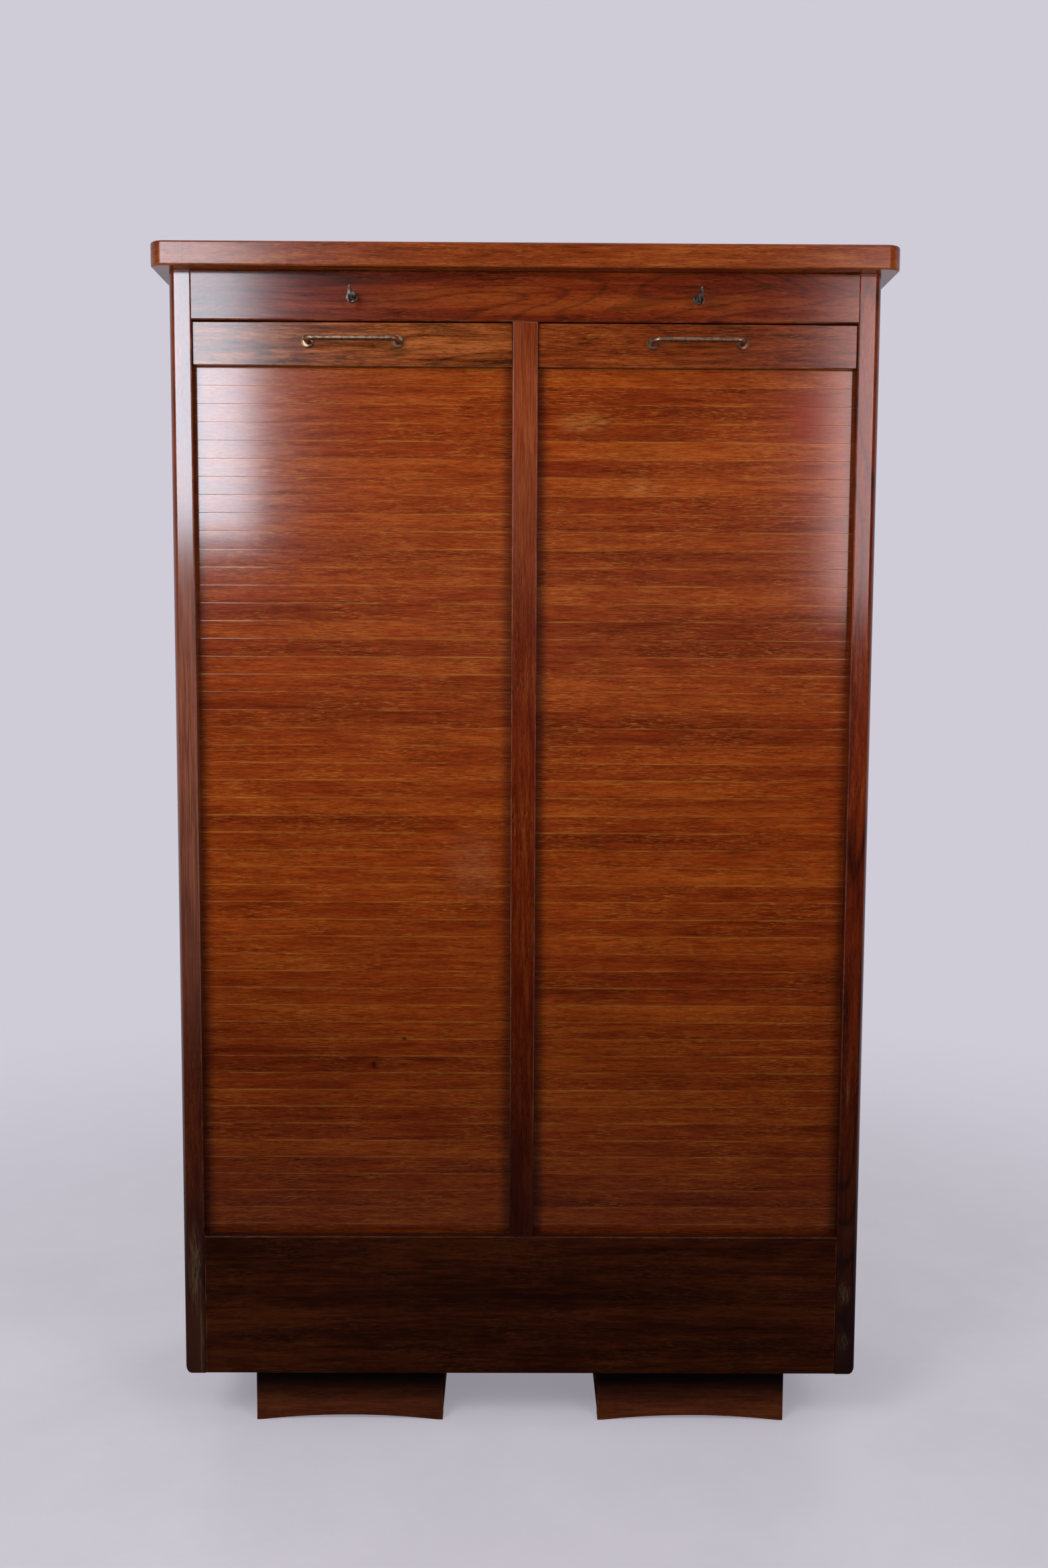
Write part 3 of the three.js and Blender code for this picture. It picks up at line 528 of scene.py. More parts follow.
@dataclass(frozen=True)
class PanelFinish(WoodFinish):
    """A side panel: varnished outside, and finished as the shelves are on its face towards its bay."""

    inside: WoodFinish | None = None
    bay: float = 0.4514

    def colours(self, graph: Graph, lie: Socket, lightness: Value) -> tuple[Socket, Sockets]:
        """Lays the outer or the inner tones, by how far across the cabinet a place is.

        Args:
            graph: The material's graph.
            lie: The place, with its first coordinate along the grain.
            lightness: How light the board is before its grain, about 0.5.

        Returns:
            The colour, and the outputs of the grain.
        """
        outer, grain = super().colours(graph, lie, lightness)
        inner, _ = self.inside.colours(graph, lie, lightness)
        across = graph.math("ABSOLUTE", graph.split(graph.place())[0])
        return graph.mix(graph.math("GREATER_THAN", across, self.bay), inner, outer), grain


@dataclass(frozen=True)
class TopFinish(WoodFinish):
    """The top board: glossy at its edges, and rubbed dull on its upper face by what has stood there."""

    face: float = 1.65
    depth: float = 0.0012
    rubbed: float = 0.3

    def finish(self, graph: Surface, colour: Socket, grain: Sockets) -> None:
        """Feeds the shader as other boards do, with a rougher upper face.

        Args:
            graph: The material's graph.
            colour: The aged colour, with its painted shade.
            grain: The outputs of the grain.
        """
        super().finish(graph, colour, grain)
        varnished = graph.shader.inputs["Roughness"].links[0].from_socket
        place = graph.place()
        handled = graph.remap(graph.noise(place, (3, 5, 1), 4, 0.6), 0.3, 0.7, 0.7, 1.1)
        extra = graph.remap(graph.split(place)[2], self.face - self.depth, self.face, 0.0, self.rubbed)
        graph.feed(graph.shader, {"Roughness": graph.math("MULTIPLY_ADD", extra, handled, varnished)})


@dataclass(frozen=True)
class SlatFinish(WoodFinish):
    """Varnished oak slats, each of its own tone, with the wear of their long edges, and painted shade with some
    dirt near their ends.
    """

    pitch: float = 0.02424
    slat_tones: float = 0.16
    joint_wear: float = 0.5
    joint_band: Pair = (0.0016, 0.0005)
    joint_breaks: tuple[float, ...] = (0.42, 0.62, 0.05, 1.0)
    side_seed: float = 1.9
    shift_across: float = 0.61
    shift_down: float = 0.37
    grime: Pair = (0.194, 0.213)
    grime_share: float = 0.5
    grimy: str = "3a1707"
    top: float = 1.4947

    def slats(self) -> Material:
        """The finish for a curtain, whose mesh holds its own place across, along and through it.

        Returns:
            The material.
        """
        graph = Surface(self.name)
        place = graph.lie()
        across, down, depth = graph.split(place)
        count = graph.math("DIVIDE", down, self.pitch)
        number = graph.math("FLOOR", count)
        seeded = graph.math("ADD", number, self.seed)
        chance = graph.node("ShaderNodeTexWhiteNoise", {"W": seeded}, noise_dimensions="1D").outputs[0]
        lightness = graph.math("MULTIPLY_ADD", graph.math("SUBTRACT", chance, 0.5), self.slat_tones, 0.5)
        own_across = graph.math("MULTIPLY_ADD", number, self.shift_across, across)
        own_down = graph.math("MULTIPLY_ADD", number, self.shift_down, down)
        colour, grain = self.colours(graph, graph.join([own_across, own_down, depth]), lightness)
        edge = graph.math("MULTIPLY", graph.math("PINGPONG", count, 0.5), self.pitch)
        broken = graph.noise(graph.join([across, number, 0.0]), (9, 7.3, 1), 4, 0.7)
        rubbed = graph.remap(broken, *self.joint_breaks)
        rubbed = graph.math("MULTIPLY", graph.remap(edge, *self.joint_band), rubbed)
        colour = graph.tint(colour, self.worn, rubbed, self.joint_wear)
        # Painted shade with some dirt: the slats darken near their ends, where they run in under the stiles and
        # the mullion.
        shaded = graph.remap(graph.math("ABSOLUTE", across), *self.grime, 0.0, self.grime_share)
        colour = graph.mix(shaded, colour, tone(self.grimy))
        height = graph.math("SUBTRACT", self.top, down)
        self.finish(graph, self.aged(graph, colour, place, height), grain)
        return graph.material


@dataclass(frozen=True)
class MetalFinish:
    """Old metal, tarnished in blotches and finely scratched."""

    name: str
    clean: str
    tarnished: str
    seed: float = 0.0
    roughness: float = 0.28
    tarnish: float = 0.8
    tarnish_dull: float = 0.2
    scratch_dull: float = 0.1
    relief: float = 0.2
    relief_depth: float = 0.00004

    def build(self) -> Material:
        """Makes the material.

        Returns:
            The material.
        """
        graph = Surface(self.name)
        marks = TarnishEffect().used(graph, {"Place": graph.place(), "Seed": self.seed})
        colour = graph.tint(tone(self.clean), self.tarnished, marks["Tarnish"], self.tarnish)
        dull = graph.math("MULTIPLY_ADD", marks["Tarnish"], self.tarnish_dull, self.roughness)
        dull = graph.math("MULTIPLY_ADD", marks["Scratch"], self.scratch_dull, dull)
        bump = graph.bump(marks["Scratch"], self.relief, self.relief_depth)
        graph.feed(graph.shader, {"Base Color": colour, "Roughness": dull, "Normal": bump, "Metallic": 1.0})
        return graph.material


@dataclass(frozen=True)
class CanvasFinish:
    """Plain woven canvas, with glue that has darkened it in places."""

    name: str
    thread: str
    glue: str
    pitch: float = 0.0011
    glued: float = 0.55
    relief: float = 0.5
    relief_depth: float = 0.0002
    roughness: float = 0.9

    def build(self) -> Material:
        """Makes the material.

        Returns:
            The material.
        """
        graph = Surface(self.name)
        place = graph.lie()
        across, down, _ = graph.split(place)
        turns = [graph.math("MULTIPLY", way, 2 * math.pi / self.pitch) for way in (across, down)]
        over = graph.math("MULTIPLY", graph.math("SINE", turns[0]), graph.math("SINE", turns[1]))
        stain = graph.remap(graph.noise(place, (9, 14, 1), 4, 0.7), 0.42, 0.62)
        colour = graph.tint(tone(self.thread), self.glue, stain, self.glued)
        weave = graph.remap(over, -1.0, 1.0, 0.8, 1.05)
        colour = graph.mix(1.0, colour, graph.join([weave] * 3), "MULTIPLY")
        bump = graph.bump(over, self.relief, self.relief_depth)
        graph.feed(graph.shader, {"Base Color": colour, "Roughness": self.roughness, "Normal": bump})
        return graph.material


# A patch with this stretch isn't broken up.
EVEN = (0, 0, 0)

TOP_OAK = TopFinish(
    "top_oak", dark="642406", body="8e3d14", light="ae6222", seed=1.3, tones=0.9, fibres=0.7, gloss=0.56,
    roughness=0.2,
    patches=(Patch((-0.45, -0.206, 1.634), (0.0007, 0.06, 0.03), "2a0e04", 1.4, EVEN),),
)
RAIL_OAK = WoodFinish(
    "rail_oak", dark="3e1204", body="70240a", light="924216", seed=2.1, wander=0.03, figure=0.4, streaks=0.8,
    fibres=0.4, flecks=0.15, gloss=0.72,
)
LEAD_OAK = WoodFinish(
    "lead_oak", dark="441a06", body="803b10", light="b0602c", seed=3.7, wander=0.02, figure=0.45, streaks=1.5,
    fibres=1.0, pores=0.5, gloss=0.76,
)
STILE_OAK = replace(
    RAIL_OAK, name="stile_oak", body="722a10", grain=Grain.UPRIGHT, seed=4.9, wander=0.008, figure=0.15,
    worn="b98560", gloss=0.96, low_shade=0.14,
    patches=(
        Patch((-0.459, -0.183, 0.243), (0.013, 0.02, 0.09), "c89a6c", 0.9, (420, 420, 40)),
        Patch((-0.459, -0.183, 0.11), (0.04, 0.04, 0.15), "b4561e", 1.0, EVEN),
        Patch((-0.451, -0.183, 0.14), (0.004, 0.02, 0.07), "d0a070", 0.9, (420, 420, 30)),
        # Painted sheen: a pale pinkish haze down the middle of the left stile stands in for the window's gloss
        # reaching lower there.
        Patch((-0.457, -0.183, 0.95), (0.04, 0.03, 0.52), "a8624e", 1.2, EVEN),
        Patch((-0.457, -0.183, 0.95), (0.03, 0.03, 0.5), "a4704a", 0.35, (500, 500, 14)),
        Patch((-0.457, -0.183, 0.95), (0.03, 0.03, 0.5), "3c150c", 0.6, (330, 330, 7)),
    ),
)
RIGHT_STILE_OAK = replace(
    STILE_OAK, dark="360c02", body="74240a", light="96400f", gloss=0.8, low_shade=0.05, figure=0.6,
    wander=0.014, wear=0.25,
    patches=(
        Patch((0.459, -0.183, 0.1), (0.04, 0.04, 0.1), "b4561e", 0.8, EVEN),
        Patch((0.457, -0.183, 0.213), (0.012, 0.02, 0.022), "ecbc88", 0.9, (420, 420, 60)),
        Patch((0.458, -0.183, 0.142), (0.012, 0.02, 0.018), "ecbc88", 0.9, (420, 420, 60)),
        Patch((0.455, -0.183, 0.505), (0.0035, 0.02, 0.03), "a8643c", 0.9, (420, 420, 40)),
    ),
)
RIGHT_LEAD_OAK = replace(
    LEAD_OAK, dark="431505", body="7c300d", light="a04e1c", streaks=1.0, pores=0.45, figure=0.3, seed=3.1
)
MULLION_OAK = replace(
    STILE_OAK, name="mullion_oak", body="681e04", seed=5.2, wear=0.35, gloss=0.6, figure=0.0, tones=0.5,
    streaks=0.7, low_shade=0.1,
    patches=(
        # Painted sheen and light: the mullion's top is laid lighter and pinker, where the gloss and the brighter
        # light fall.
        Patch((0.0, -0.183, 1.42), (0.05, 0.03, 0.32), "8e3a18", 0.8, EVEN),
        Patch((0.0, -0.183, 1.42), (0.05, 0.03, 0.32), "b46a40", 0.35, (650, 650, 14)),
    ),
)
PLINTH_OAK = WoodFinish(
    "plinth_oak", dark="2a0e04", body="421a08", light="5e2a10", seed=6.4, wander=0.015, tones=1.0, streaks=1.1,
    fibres=1.0, pores=0.4, fleck="7c4a20", flecks=0.3, low_shade=0.6, gloss=0.16, wear=0.35, figure=0.15,
)
FOOT_OAK = WoodFinish(
    "foot_oak", dark="40190a", body="642c14", light="7c421c", seed=8.3, roughness=0.45, gloss=0.12,
    low_shade=0.85, tones=0.7, streaks=0.9, fibres=0.7, flecks=0.06,
    # Painted shadow: the tops of the feet are darkened where the carcase above shades them.
    patches=(Patch((0.0, -0.1, 0.09), (2.0, 2.0, 0.08), "100502", 2.0, EVEN),),
)
INNER_OAK = WoodFinish(
    "inner_oak", dark="8f6338", body="b4854f", light="cfa673", pore="5a3818", fleck="d9b682", worn="c9a273",
    seed=9.1, roughness=0.5, gloss=0.3, low_shade=0.9, figure=0.15, wander=0.02,
)
BACK_PLY = replace(
    INNER_OAK, name="back_ply", body="b98d58", grain=Grain.UPRIGHT, seed=10.6, roughness=0.65, wander=0.05,
    figure=0.25,
)
PANEL_OAK = PanelFinish(
    "panel_oak", dark="3e1204", body="70240a", light="924216", grain=Grain.UPRIGHT, seed=7.7, wander=0.02,
    figure=0.3, streaks=0.8, fibres=0.4, flecks=0.15, low_shade=0.6, roughness=0.42, gloss=0.2, inside=INNER_OAK,
)
SLAT_OAK = SlatFinish(
    "slat_oak", dark="641e05", body="90360c", light="b25618", fleck="c88434", worn="cc8832", pore="481804",
    seed=11.0, tones=0.7, streaks=0.75, fibres=1.15, pores=0.42, flecks=0.4, roughness=0.13, gloss=0.96,
    wander=0.012, low_shade=0.43, relief=0.05, figure=0.12,
)

# Marks on each curtain, placed across it, down along it and through it.
SCUFFS = {
    Side.LEFT: (
        Patch((0.066, 0.9207, 0.01), (0.006, 0.004, 0.03), "2e1004", 1.6, EVEN),
        Patch((0.0235, 0.9577, 0.01), (0.005, 0.007, 0.03), "2e1004", 1.6, EVEN),
        Patch((0.1595, 0.675, 0.01), (0.05, 0.065, 0.05), "b8805c", 0.22, (70, 500, 1)),
    ),
    Side.RIGHT: (
        Patch((-0.1506, 0.0707, 0.01), (0.055, 0.02, 0.05), "c88440", 0.45, (60, 380, 1)),
        Patch((-0.07, 0.158, 0.01), (0.036, 0.016, 0.05), "c88440", 0.45, (60, 380, 1)),
        Patch((0.155, 0.0613, 0.01), (0.042, 0.044, 0.05), "922c08", 1.3, EVEN),
    ),
}


def added(name: str, data: ID) -> Object:
    """Puts a new object with its data into the scene."""
    made = bpy.data.objects.new(name, data)
    bpy.context.scene.collection.objects.link(made)
    return made


def meshed(name: str, mesh: BMesh, materials: list[Material]) -> Object:
    """Ends a mesh, and puts it into the scene.

    Args:
        name: The new piece's name.
        mesh: Its mesh, with the faces to be shaded smooth already marked.
        materials: Its materials.

    Returns:
        The piece.
    """
    bmesh.ops.recalc_face_normals(mesh, faces=mesh.faces)
    data = bpy.data.meshes.new(name)
    mesh.to_mesh(data)
    mesh.free()
    for material in materials:
        data.materials.append(material)
    data.set_sharp_from_angle(angle=SmoothEffect.limit)
    return added(name, data)


@dataclass
class Dresser:
    """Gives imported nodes, whose meshes stay as they are, their materials and smoother edges."""

    dissolve: float = math.radians(0.3)
    segments: int = 2
    weight: int = 80

    def dress(self, name: str, material: Material, ease: float = 0.0) -> None:
        """Dresses one node.

        Args:
            name: The node's name.
            material: What goes into every slot of it.
            ease: The width of a small round on its sharp edges, or 0 for none.
        """
        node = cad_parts[name]
        for slot in node.material_slots:
            slot.material = material
        weld = node.modifiers.new("weld", "WELD")
        weld.merge_threshold = SAME
        flats = node.modifiers.new("flats", "DECIMATE")
        flats.decimate_type, flats.angle_limit = "DISSOLVE", self.dissolve
        if ease:
            bevel = node.modifiers.new("ease", "BEVEL")
            bevel.width, bevel.segments = ease, self.segments
            bevel.limit_method, bevel.angle_limit = "ANGLE", SmoothEffect.limit
        node.modifiers.new("smooth", "NODES").node_group = SmoothEffect().tree
        weigh = node.modifiers.new("weigh", "WEIGHTED_NORMAL")
        weigh.keep_sharp, weigh.weight = True, self.weight
        LOG.info("%s in %s", name, material.name)


@dataclass
class Carcase:
    """The boards of the cabinet's body and of its feet."""

    dresser: Dresser
    ease: float = 0.0003
    seed_step: float = 0.7
    seed_range: float = 5.0
    finishes: dict[str, WoodFinish] = field(
        default_factory=lambda: {
            "bearer": replace(INNER_OAK, grain=Grain.INWARDS),
            "top_board": TOP_OAK,
            "lock_rail": RAIL_OAK,
            "plinth_panel": PLINTH_OAK,
            "centre_mullion": MULLION_OAK,
            "left_front_stile": STILE_OAK,
            "right_front_stile": RIGHT_STILE_OAK,
            "side_panel": PANEL_OAK,
            "foot_front": FOOT_OAK,
            "foot_back": FOOT_OAK,
            "foot": replace(FOOT_OAK, grain=Grain.INWARDS),
            "back_panel": BACK_PLY,
            "false_back": BACK_PLY,
            "base_board": INNER_OAK,
            "centre_partition": replace(INNER_OAK, grain=Grain.UPRIGHT),
            "bay_floor": INNER_OAK,
            "shelf": INNER_OAK,
        }
    )

    def dress(self) -> None:
        """Gives each board the first finish whose key is in its name."""
        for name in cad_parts:
            finish = next((self.finishes[key] for key in self.finishes if key in name), None)
            if finish is not None:
                seed = finish.seed + self.seed_step * sum(map(ord, name)) % self.seed_range
                self.dresser.dress(name, replace(finish, seed=seed).board(name), self.ease)


@dataclass
class Screws:
    """The slotted screws round the edge of the back panel."""

    radius: float = 0.0034
    rise: float = 0.0017
    slot: float = 0.0008
    slot_depth: float = 0.001
    root: float = 0.0004
    inset: float = 0.009
    columns: int = 5
    rows: int = 7
    dome: float = 0.96
    steps: int = 8
    angles: tuple[float, ...] = (math.pi / 2, 1.25, 0.95, 0.6, 0.3)
    tip: float = 1e-9
    turn: float = 37.0
    steel: MetalFinish = MetalFinish("screw_steel", clean="9a9488", tarnished="54493c", roughness=0.35)

    def places(self) -> list[Pair]:
        """Where the screws are.

        Returns:
            The place of each across the cabinet, and its height.
        """
        low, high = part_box("back_panel")
        left, right = low[0] + self.inset, high[0] - self.inset
        bottom, top = low[2] + self.inset, high[2] - self.inset
        columns = [left + (right - left) * k / (self.columns - 1) for k in range(self.columns)]
        rows = [bottom + (top - bottom) * k / (self.rows + 1) for k in range(1, self.rows + 1)]
        return [(x, z) for x in columns for z in (bottom, top)] + [(x, z) for z in rows for x in (left, right)]

    def head(self, mesh: BMesh, centre: Vector, turn: float) -> None:
        """Adds one head to a mesh.

        Args:
            mesh: The mesh.
            centre: The middle of the head, on the panel's face.
            turn: The angle that its slot was left at.
        """
        half, spin = self.slot / 2, Matrix.Rotation(-turn, 3, "Y")
        side = [(self.radius * math.sin(angle), False) for angle in self.angles] + [(half, False), (half, True)]
        lines = [(-way, cut) for way, cut in side] + side[::-1]
        rims = []
        for flat in (False, True):
            grid = [[] for _ in lines]
            for row, (across, cut) in zip(grid, lines):
                reach = math.sqrt(max(self.radius**2 - across**2, self.tip))
                for k in range(self.steps + 1):
                    along = reach * math.sin(math.pi * (k / self.steps - 0.5))
                    share = min((along**2 + across**2) / self.radius**2, 1.0)
                    rise = self.rise - self.slot_depth if cut else self.rise * math.sqrt(1 - share * self.dome)
                    point = Vector((along, -self.root if flat else rise, across))
                    row.append(mesh.verts.new(centre + spin @ point))
            for one, two in zip(grid, grid[1:]):
                for k in range(self.steps):
                    mesh.faces.new((one[k], one[k + 1], two[k + 1], two[k])).smooth = True
            starts, ends = [row[0] for row in grid], [row[-1] for row in grid]
            rims.append(starts + grid[-1][1:] + ends[-2::-1] + grid[0][-2:0:-1])
        top, base = rims
        for k in range(len(top)):
            n = (k + 1) % len(top)
            mesh.faces.new((top[k], top[n], base[n], base[k])).smooth = True

    def build(self) -> None:
        """Builds all the heads as one piece."""
        mesh = bmesh.new()
        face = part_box("back_panel")[1][1]
        for number, (x, z) in enumerate(self.places()):
            self.head(mesh, Vector((x, face, z)), math.radians(self.turn * number % 180))
        bmesh.ops.remove_doubles(mesh, verts=mesh.verts, dist=SAME)
        made = meshed("back_screws", mesh, [self.steel.build()])
        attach(made, "cabinet")
        LOG.info("%s: %d heads", made.name, number + 1)


@dataclass
class Tambour:
    """One door: its curtain of slats on canvas, its lead rail, and its handle."""

    side: Side
    dresser: Dresser
    finish: SlatFinish
    pitch: float = 0.02424
    gap: float = 0.0002
    round: float = 0.00005
    crown: float = 0.00002
    slat: float = 0.009
    canvas: float = 0.001
    flap: float = 0.025
    count: int = 57
    straight: int = 52
    half_width: float = 0.2265
    centre: float = 0.231
    top: float = 1.4947
    back: float = -0.155
    bend: float = 0.1
    bend_height: float = 0.235
    travel: float = 1.1995
    clearance: float = 0.0006
    ahead: float = 0.001
    crown_shares: tuple[float, ...] = (0.02, 0.25, 0.5, 0.75, 0.98)
    plate_ease: float = 0.0002

    def __post_init__(self) -> None:
        """Works out the side's own place across the cabinet."""
        self.word = self.side.word
        self.x = self.side.value * self.centre

    def canvas_point(self, distance: float) -> Pair:
        """Where the back of the canvas lies.

        Args:
            distance: How far down the curtain, along it.

        Returns:
            The place inwards and the height.
        """
        straight = self.top - self.bend_height
        if distance <= straight:
            return self.back, self.top - distance
        radius = self.bend - (self.slat + self.canvas) / 2
        turn = math.pi + (distance - straight) / radius
        middle = self.back + radius
        return middle + radius * math.cos(turn), self.bend_height + radius * math.sin(turn)

    def profile(self) -> list[Pair]:
        """One slat's outline.

        Returns:
            Its points, as the place down the slat and the height over the back of the canvas.
        """
        face, start = self.canvas + self.slat - self.crown, self.gap / 2
        side = [(start, self.canvas), (start, face - self.round)]
        for angle in (math.pi / 6, math.pi / 3, math.pi / 2):
            side.append((start + self.round * (1 - math.cos(angle)), face - self.round * (1 - math.sin(angle))))
        low, wide, crown = start + self.round, self.pitch - self.gap - 2 * self.round, []
        for share in self.crown_shares:
            crown.append((low + wide * share, face + self.crown * (1 - (2 * share - 1) ** 2)))
        return side + crown + [(self.pitch - down, height) for down, height in reversed(side)]

    def slats(self, mesh: BMesh, lie: BMLayerItem, numbers: range) -> None:
        """Adds slats to a mesh, straight and standing on the canvas.

        Args:
            mesh: The mesh.
            lie: The mesh's layer for the lie of each corner.
            numbers: The slats, counted down from the lead rail.
        """
        for number in numbers:
            first = Vector(self.canvas_point(number * self.pitch))
            last = Vector(self.canvas_point((number + 1) * self.pitch))
            along = (last - first).normalized()
            out = Vector((along.y, -along.x))
            ends = []
            for edge in (-self.half_width, self.half_width):
                ring = []
                for distance, height in self.profile():
                    point = first + along * distance + out * height
                    corner = mesh.verts.new((self.x + edge, point.x, point.y))
                    corner[lie] = (edge, number * self.pitch + distance, height)
                    ring.append(corner)
                ends.append(ring)
            low, high = ends
            for k in range(len(low)):
                n = (k + 1) % len(low)
                mesh.faces.new((low[k], low[n], high[n], high[k])).smooth = True
            mesh.faces.new(low[::-1])
            mesh.faces.new(high)

    def backing(self, mesh: BMesh, lie: BMLayerItem, steps: list[float]) -> None:
        """Adds the canvas to a mesh.

        Args:
            mesh: The mesh.
            lie: The mesh's layer for the lie of each corner.
            steps: How far down the curtain each row of corners is, less than 0 on the flap.
        """
        rows = []
        for distance in steps:
            down = max(distance, 0.0)
            start = Vector(self.canvas_point(down))
            here = start + Vector((0, down - distance))
            along = (Vector(self.canvas_point(down + self.ahead)) - start).normalized()
            out = Vector((along.y, -along.x)) * self.canvas
            row = []
            for point, height in ((here, 0.0), (here + out, self.canvas)):
                for edge in (-self.half_width, self.half_width):
                    corner = mesh.verts.new((self.x + edge, point.x, point.y))
                    corner[lie] = (edge, distance, height)
                    row.append(corner)
            rows.append(row)
        for upper, lower in zip(rows, rows[1:]):
            for a, b in ((0, 1), (1, 3), (3, 2), (2, 0)):
                mesh.faces.new((upper[a], upper[b], lower[b], lower[a])).material_index = 1
        for row in (rows[0], rows[-1][::-1]):
            mesh.faces.new((row[0], row[2], row[3], row[1])).material_index = 1

    def length(self, name: str, numbers: range, flap: list[float], finishes: list[Material]) -> Object:
        """Builds one length of the curtain.

        Args:
            name: The new piece's name.
            numbers: Its slats, counted down from the lead rail.
            flap: Where the canvas starts above the first of them, if it does.
            finishes: The materials of the slats and of the canvas.

        Returns:
            The piece.
        """
        mesh = bmesh.new()
        lie = mesh.verts.layers.float_vector.new(LIE)
        self.slats(mesh, lie, numbers)
        self.backing(mesh, lie, flap + [k * self.pitch for k in (*numbers, numbers.stop)])
        made = meshed(name, mesh, finishes)
        LOG.info("%s: %d slats", name, len(numbers))
        return made

    def curtain(self) -> None:
        """Builds the straight length, which gathers behind the plinth as the door goes down, and the bent one.

        Slats fill the bend wherever the door is, so the bent length stays in its track.
        """
        canvas = CanvasFinish(f"canvas_{self.word}", thread="9c8a68", glue="6b5334")
        finishes = [self.finish.slats(), canvas.build()]
        straight = self.length(f"{self.word}_slats", range(self.straight), [-self.flap], finishes)
        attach(straight, f"{self.word}_door")
        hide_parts(f"{self.word}_curtain")
        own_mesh(straight)
        bent = self.length(f"{self.word}_slats_in_bend", range(self.straight, self.count), [], finishes)
        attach(bent, "cabinet")

    def dress(self) -> None:
        """Builds the curtain, and gives the lead rail and the fittings their finishes."""
        self.curtain()
        rail = f"{self.word}_lead_rail"
        oak = LEAD_OAK if self.side is Side.LEFT else RIGHT_LEAD_OAK
        self.dresser.dress(rail, oak.board(rail))
        brass = MetalFinish(f"brass_{self.word}", clean="cca680", tarnished="6e4f3a", seed=self.x, roughness=0.3)
        steel = MetalFinish(f"strike_steel_{self.word}", clean="8a8884", tarnished="5b534b", seed=self.x)
        for part in ("handle", "handle_left_rosette", "handle_right_rosette"):
            self.dresser.dress(f"{self.word}_{part}", brass.build())
        self.dresser.dress(f"{self.word}_strike_plate", steel.build(), self.plate_ease)


@dataclass
class Lock:
    """One lock with its key."""

    side: Side
    dresser: Dresser
    nickel: MetalFinish = MetalFinish("nickel", clean="a2988a", tarnished="463e36", roughness=0.22)
    steel: MetalFinish = MetalFinish("lock_steel", clean="8b8985", tarnished="55504a", roughness=0.35)
    ease: float = 0.00015
    seed: float = 0.3

    def dress(self) -> None:
        """Gives each piece of the lock its finish."""
        fittings = dict.fromkeys(("lock_collar", "lock_plug", "key"), self.nickel)
        fittings |= dict.fromkeys(("lock_case", "lock_bolt"), self.steel)
        for part, finish in fittings.items():
            name = f"{self.side.word}_{part}"
            own = replace(finish, name=f"{finish.name}.{name}", seed=self.side.value * self.seed)
            self.dresser.dress(name, own.build(), self.ease)


@dataclass(frozen=True)
class Lamp:
    """One soft lamp: a rectangle turned towards a place, which lights things or else is seen in their gloss."""

    name: str
    place: Triple
    aim: Triple
    width: float
    height: float
    glow: float
    tint: Triple = (0.98, 0.98, 1.0)
    shines: bool = False
    fade: float = 0.12

    def build(self) -> None:
        """Adds the lamp, whose glow is how bright its face is, to the scene."""
        data = bpy.data.lights.new(self.name, "AREA")
        data.shape, data.size, data.size_y = "RECTANGLE", self.width, self.height
        data.energy, data.color = self.glow * math.pi * self.width * self.height, self.tint
        data.use_nodes = True
        graph = Graph(data.node_tree)
        across, up, _ = graph.split(graph.node("ShaderNodeNewGeometry").outputs["Parametric"])
        edges = [graph.math("MULTIPLY", way, graph.math("SUBTRACT", 1.0, way)) for way in (across, up)]
        fades = [graph.remap(edge, 0.0, self.fade * (1 - self.fade)) for edge in edges]
        strength = graph.math("MULTIPLY", fades[0], fades[1])
        graph.feed(data.node_tree.nodes["Emission"], {"Strength": strength})
        made = added(self.name, data)
        made.location = self.place
        made.rotation_mode = "QUATERNION"
        made.rotation_quaternion = (Vector(self.aim) - Vector(self.place)).to_track_quat("-Z", "Y")
        made.visible_camera, made.visible_diffuse, made.visible_glossy = False, not self.shines, self.shines


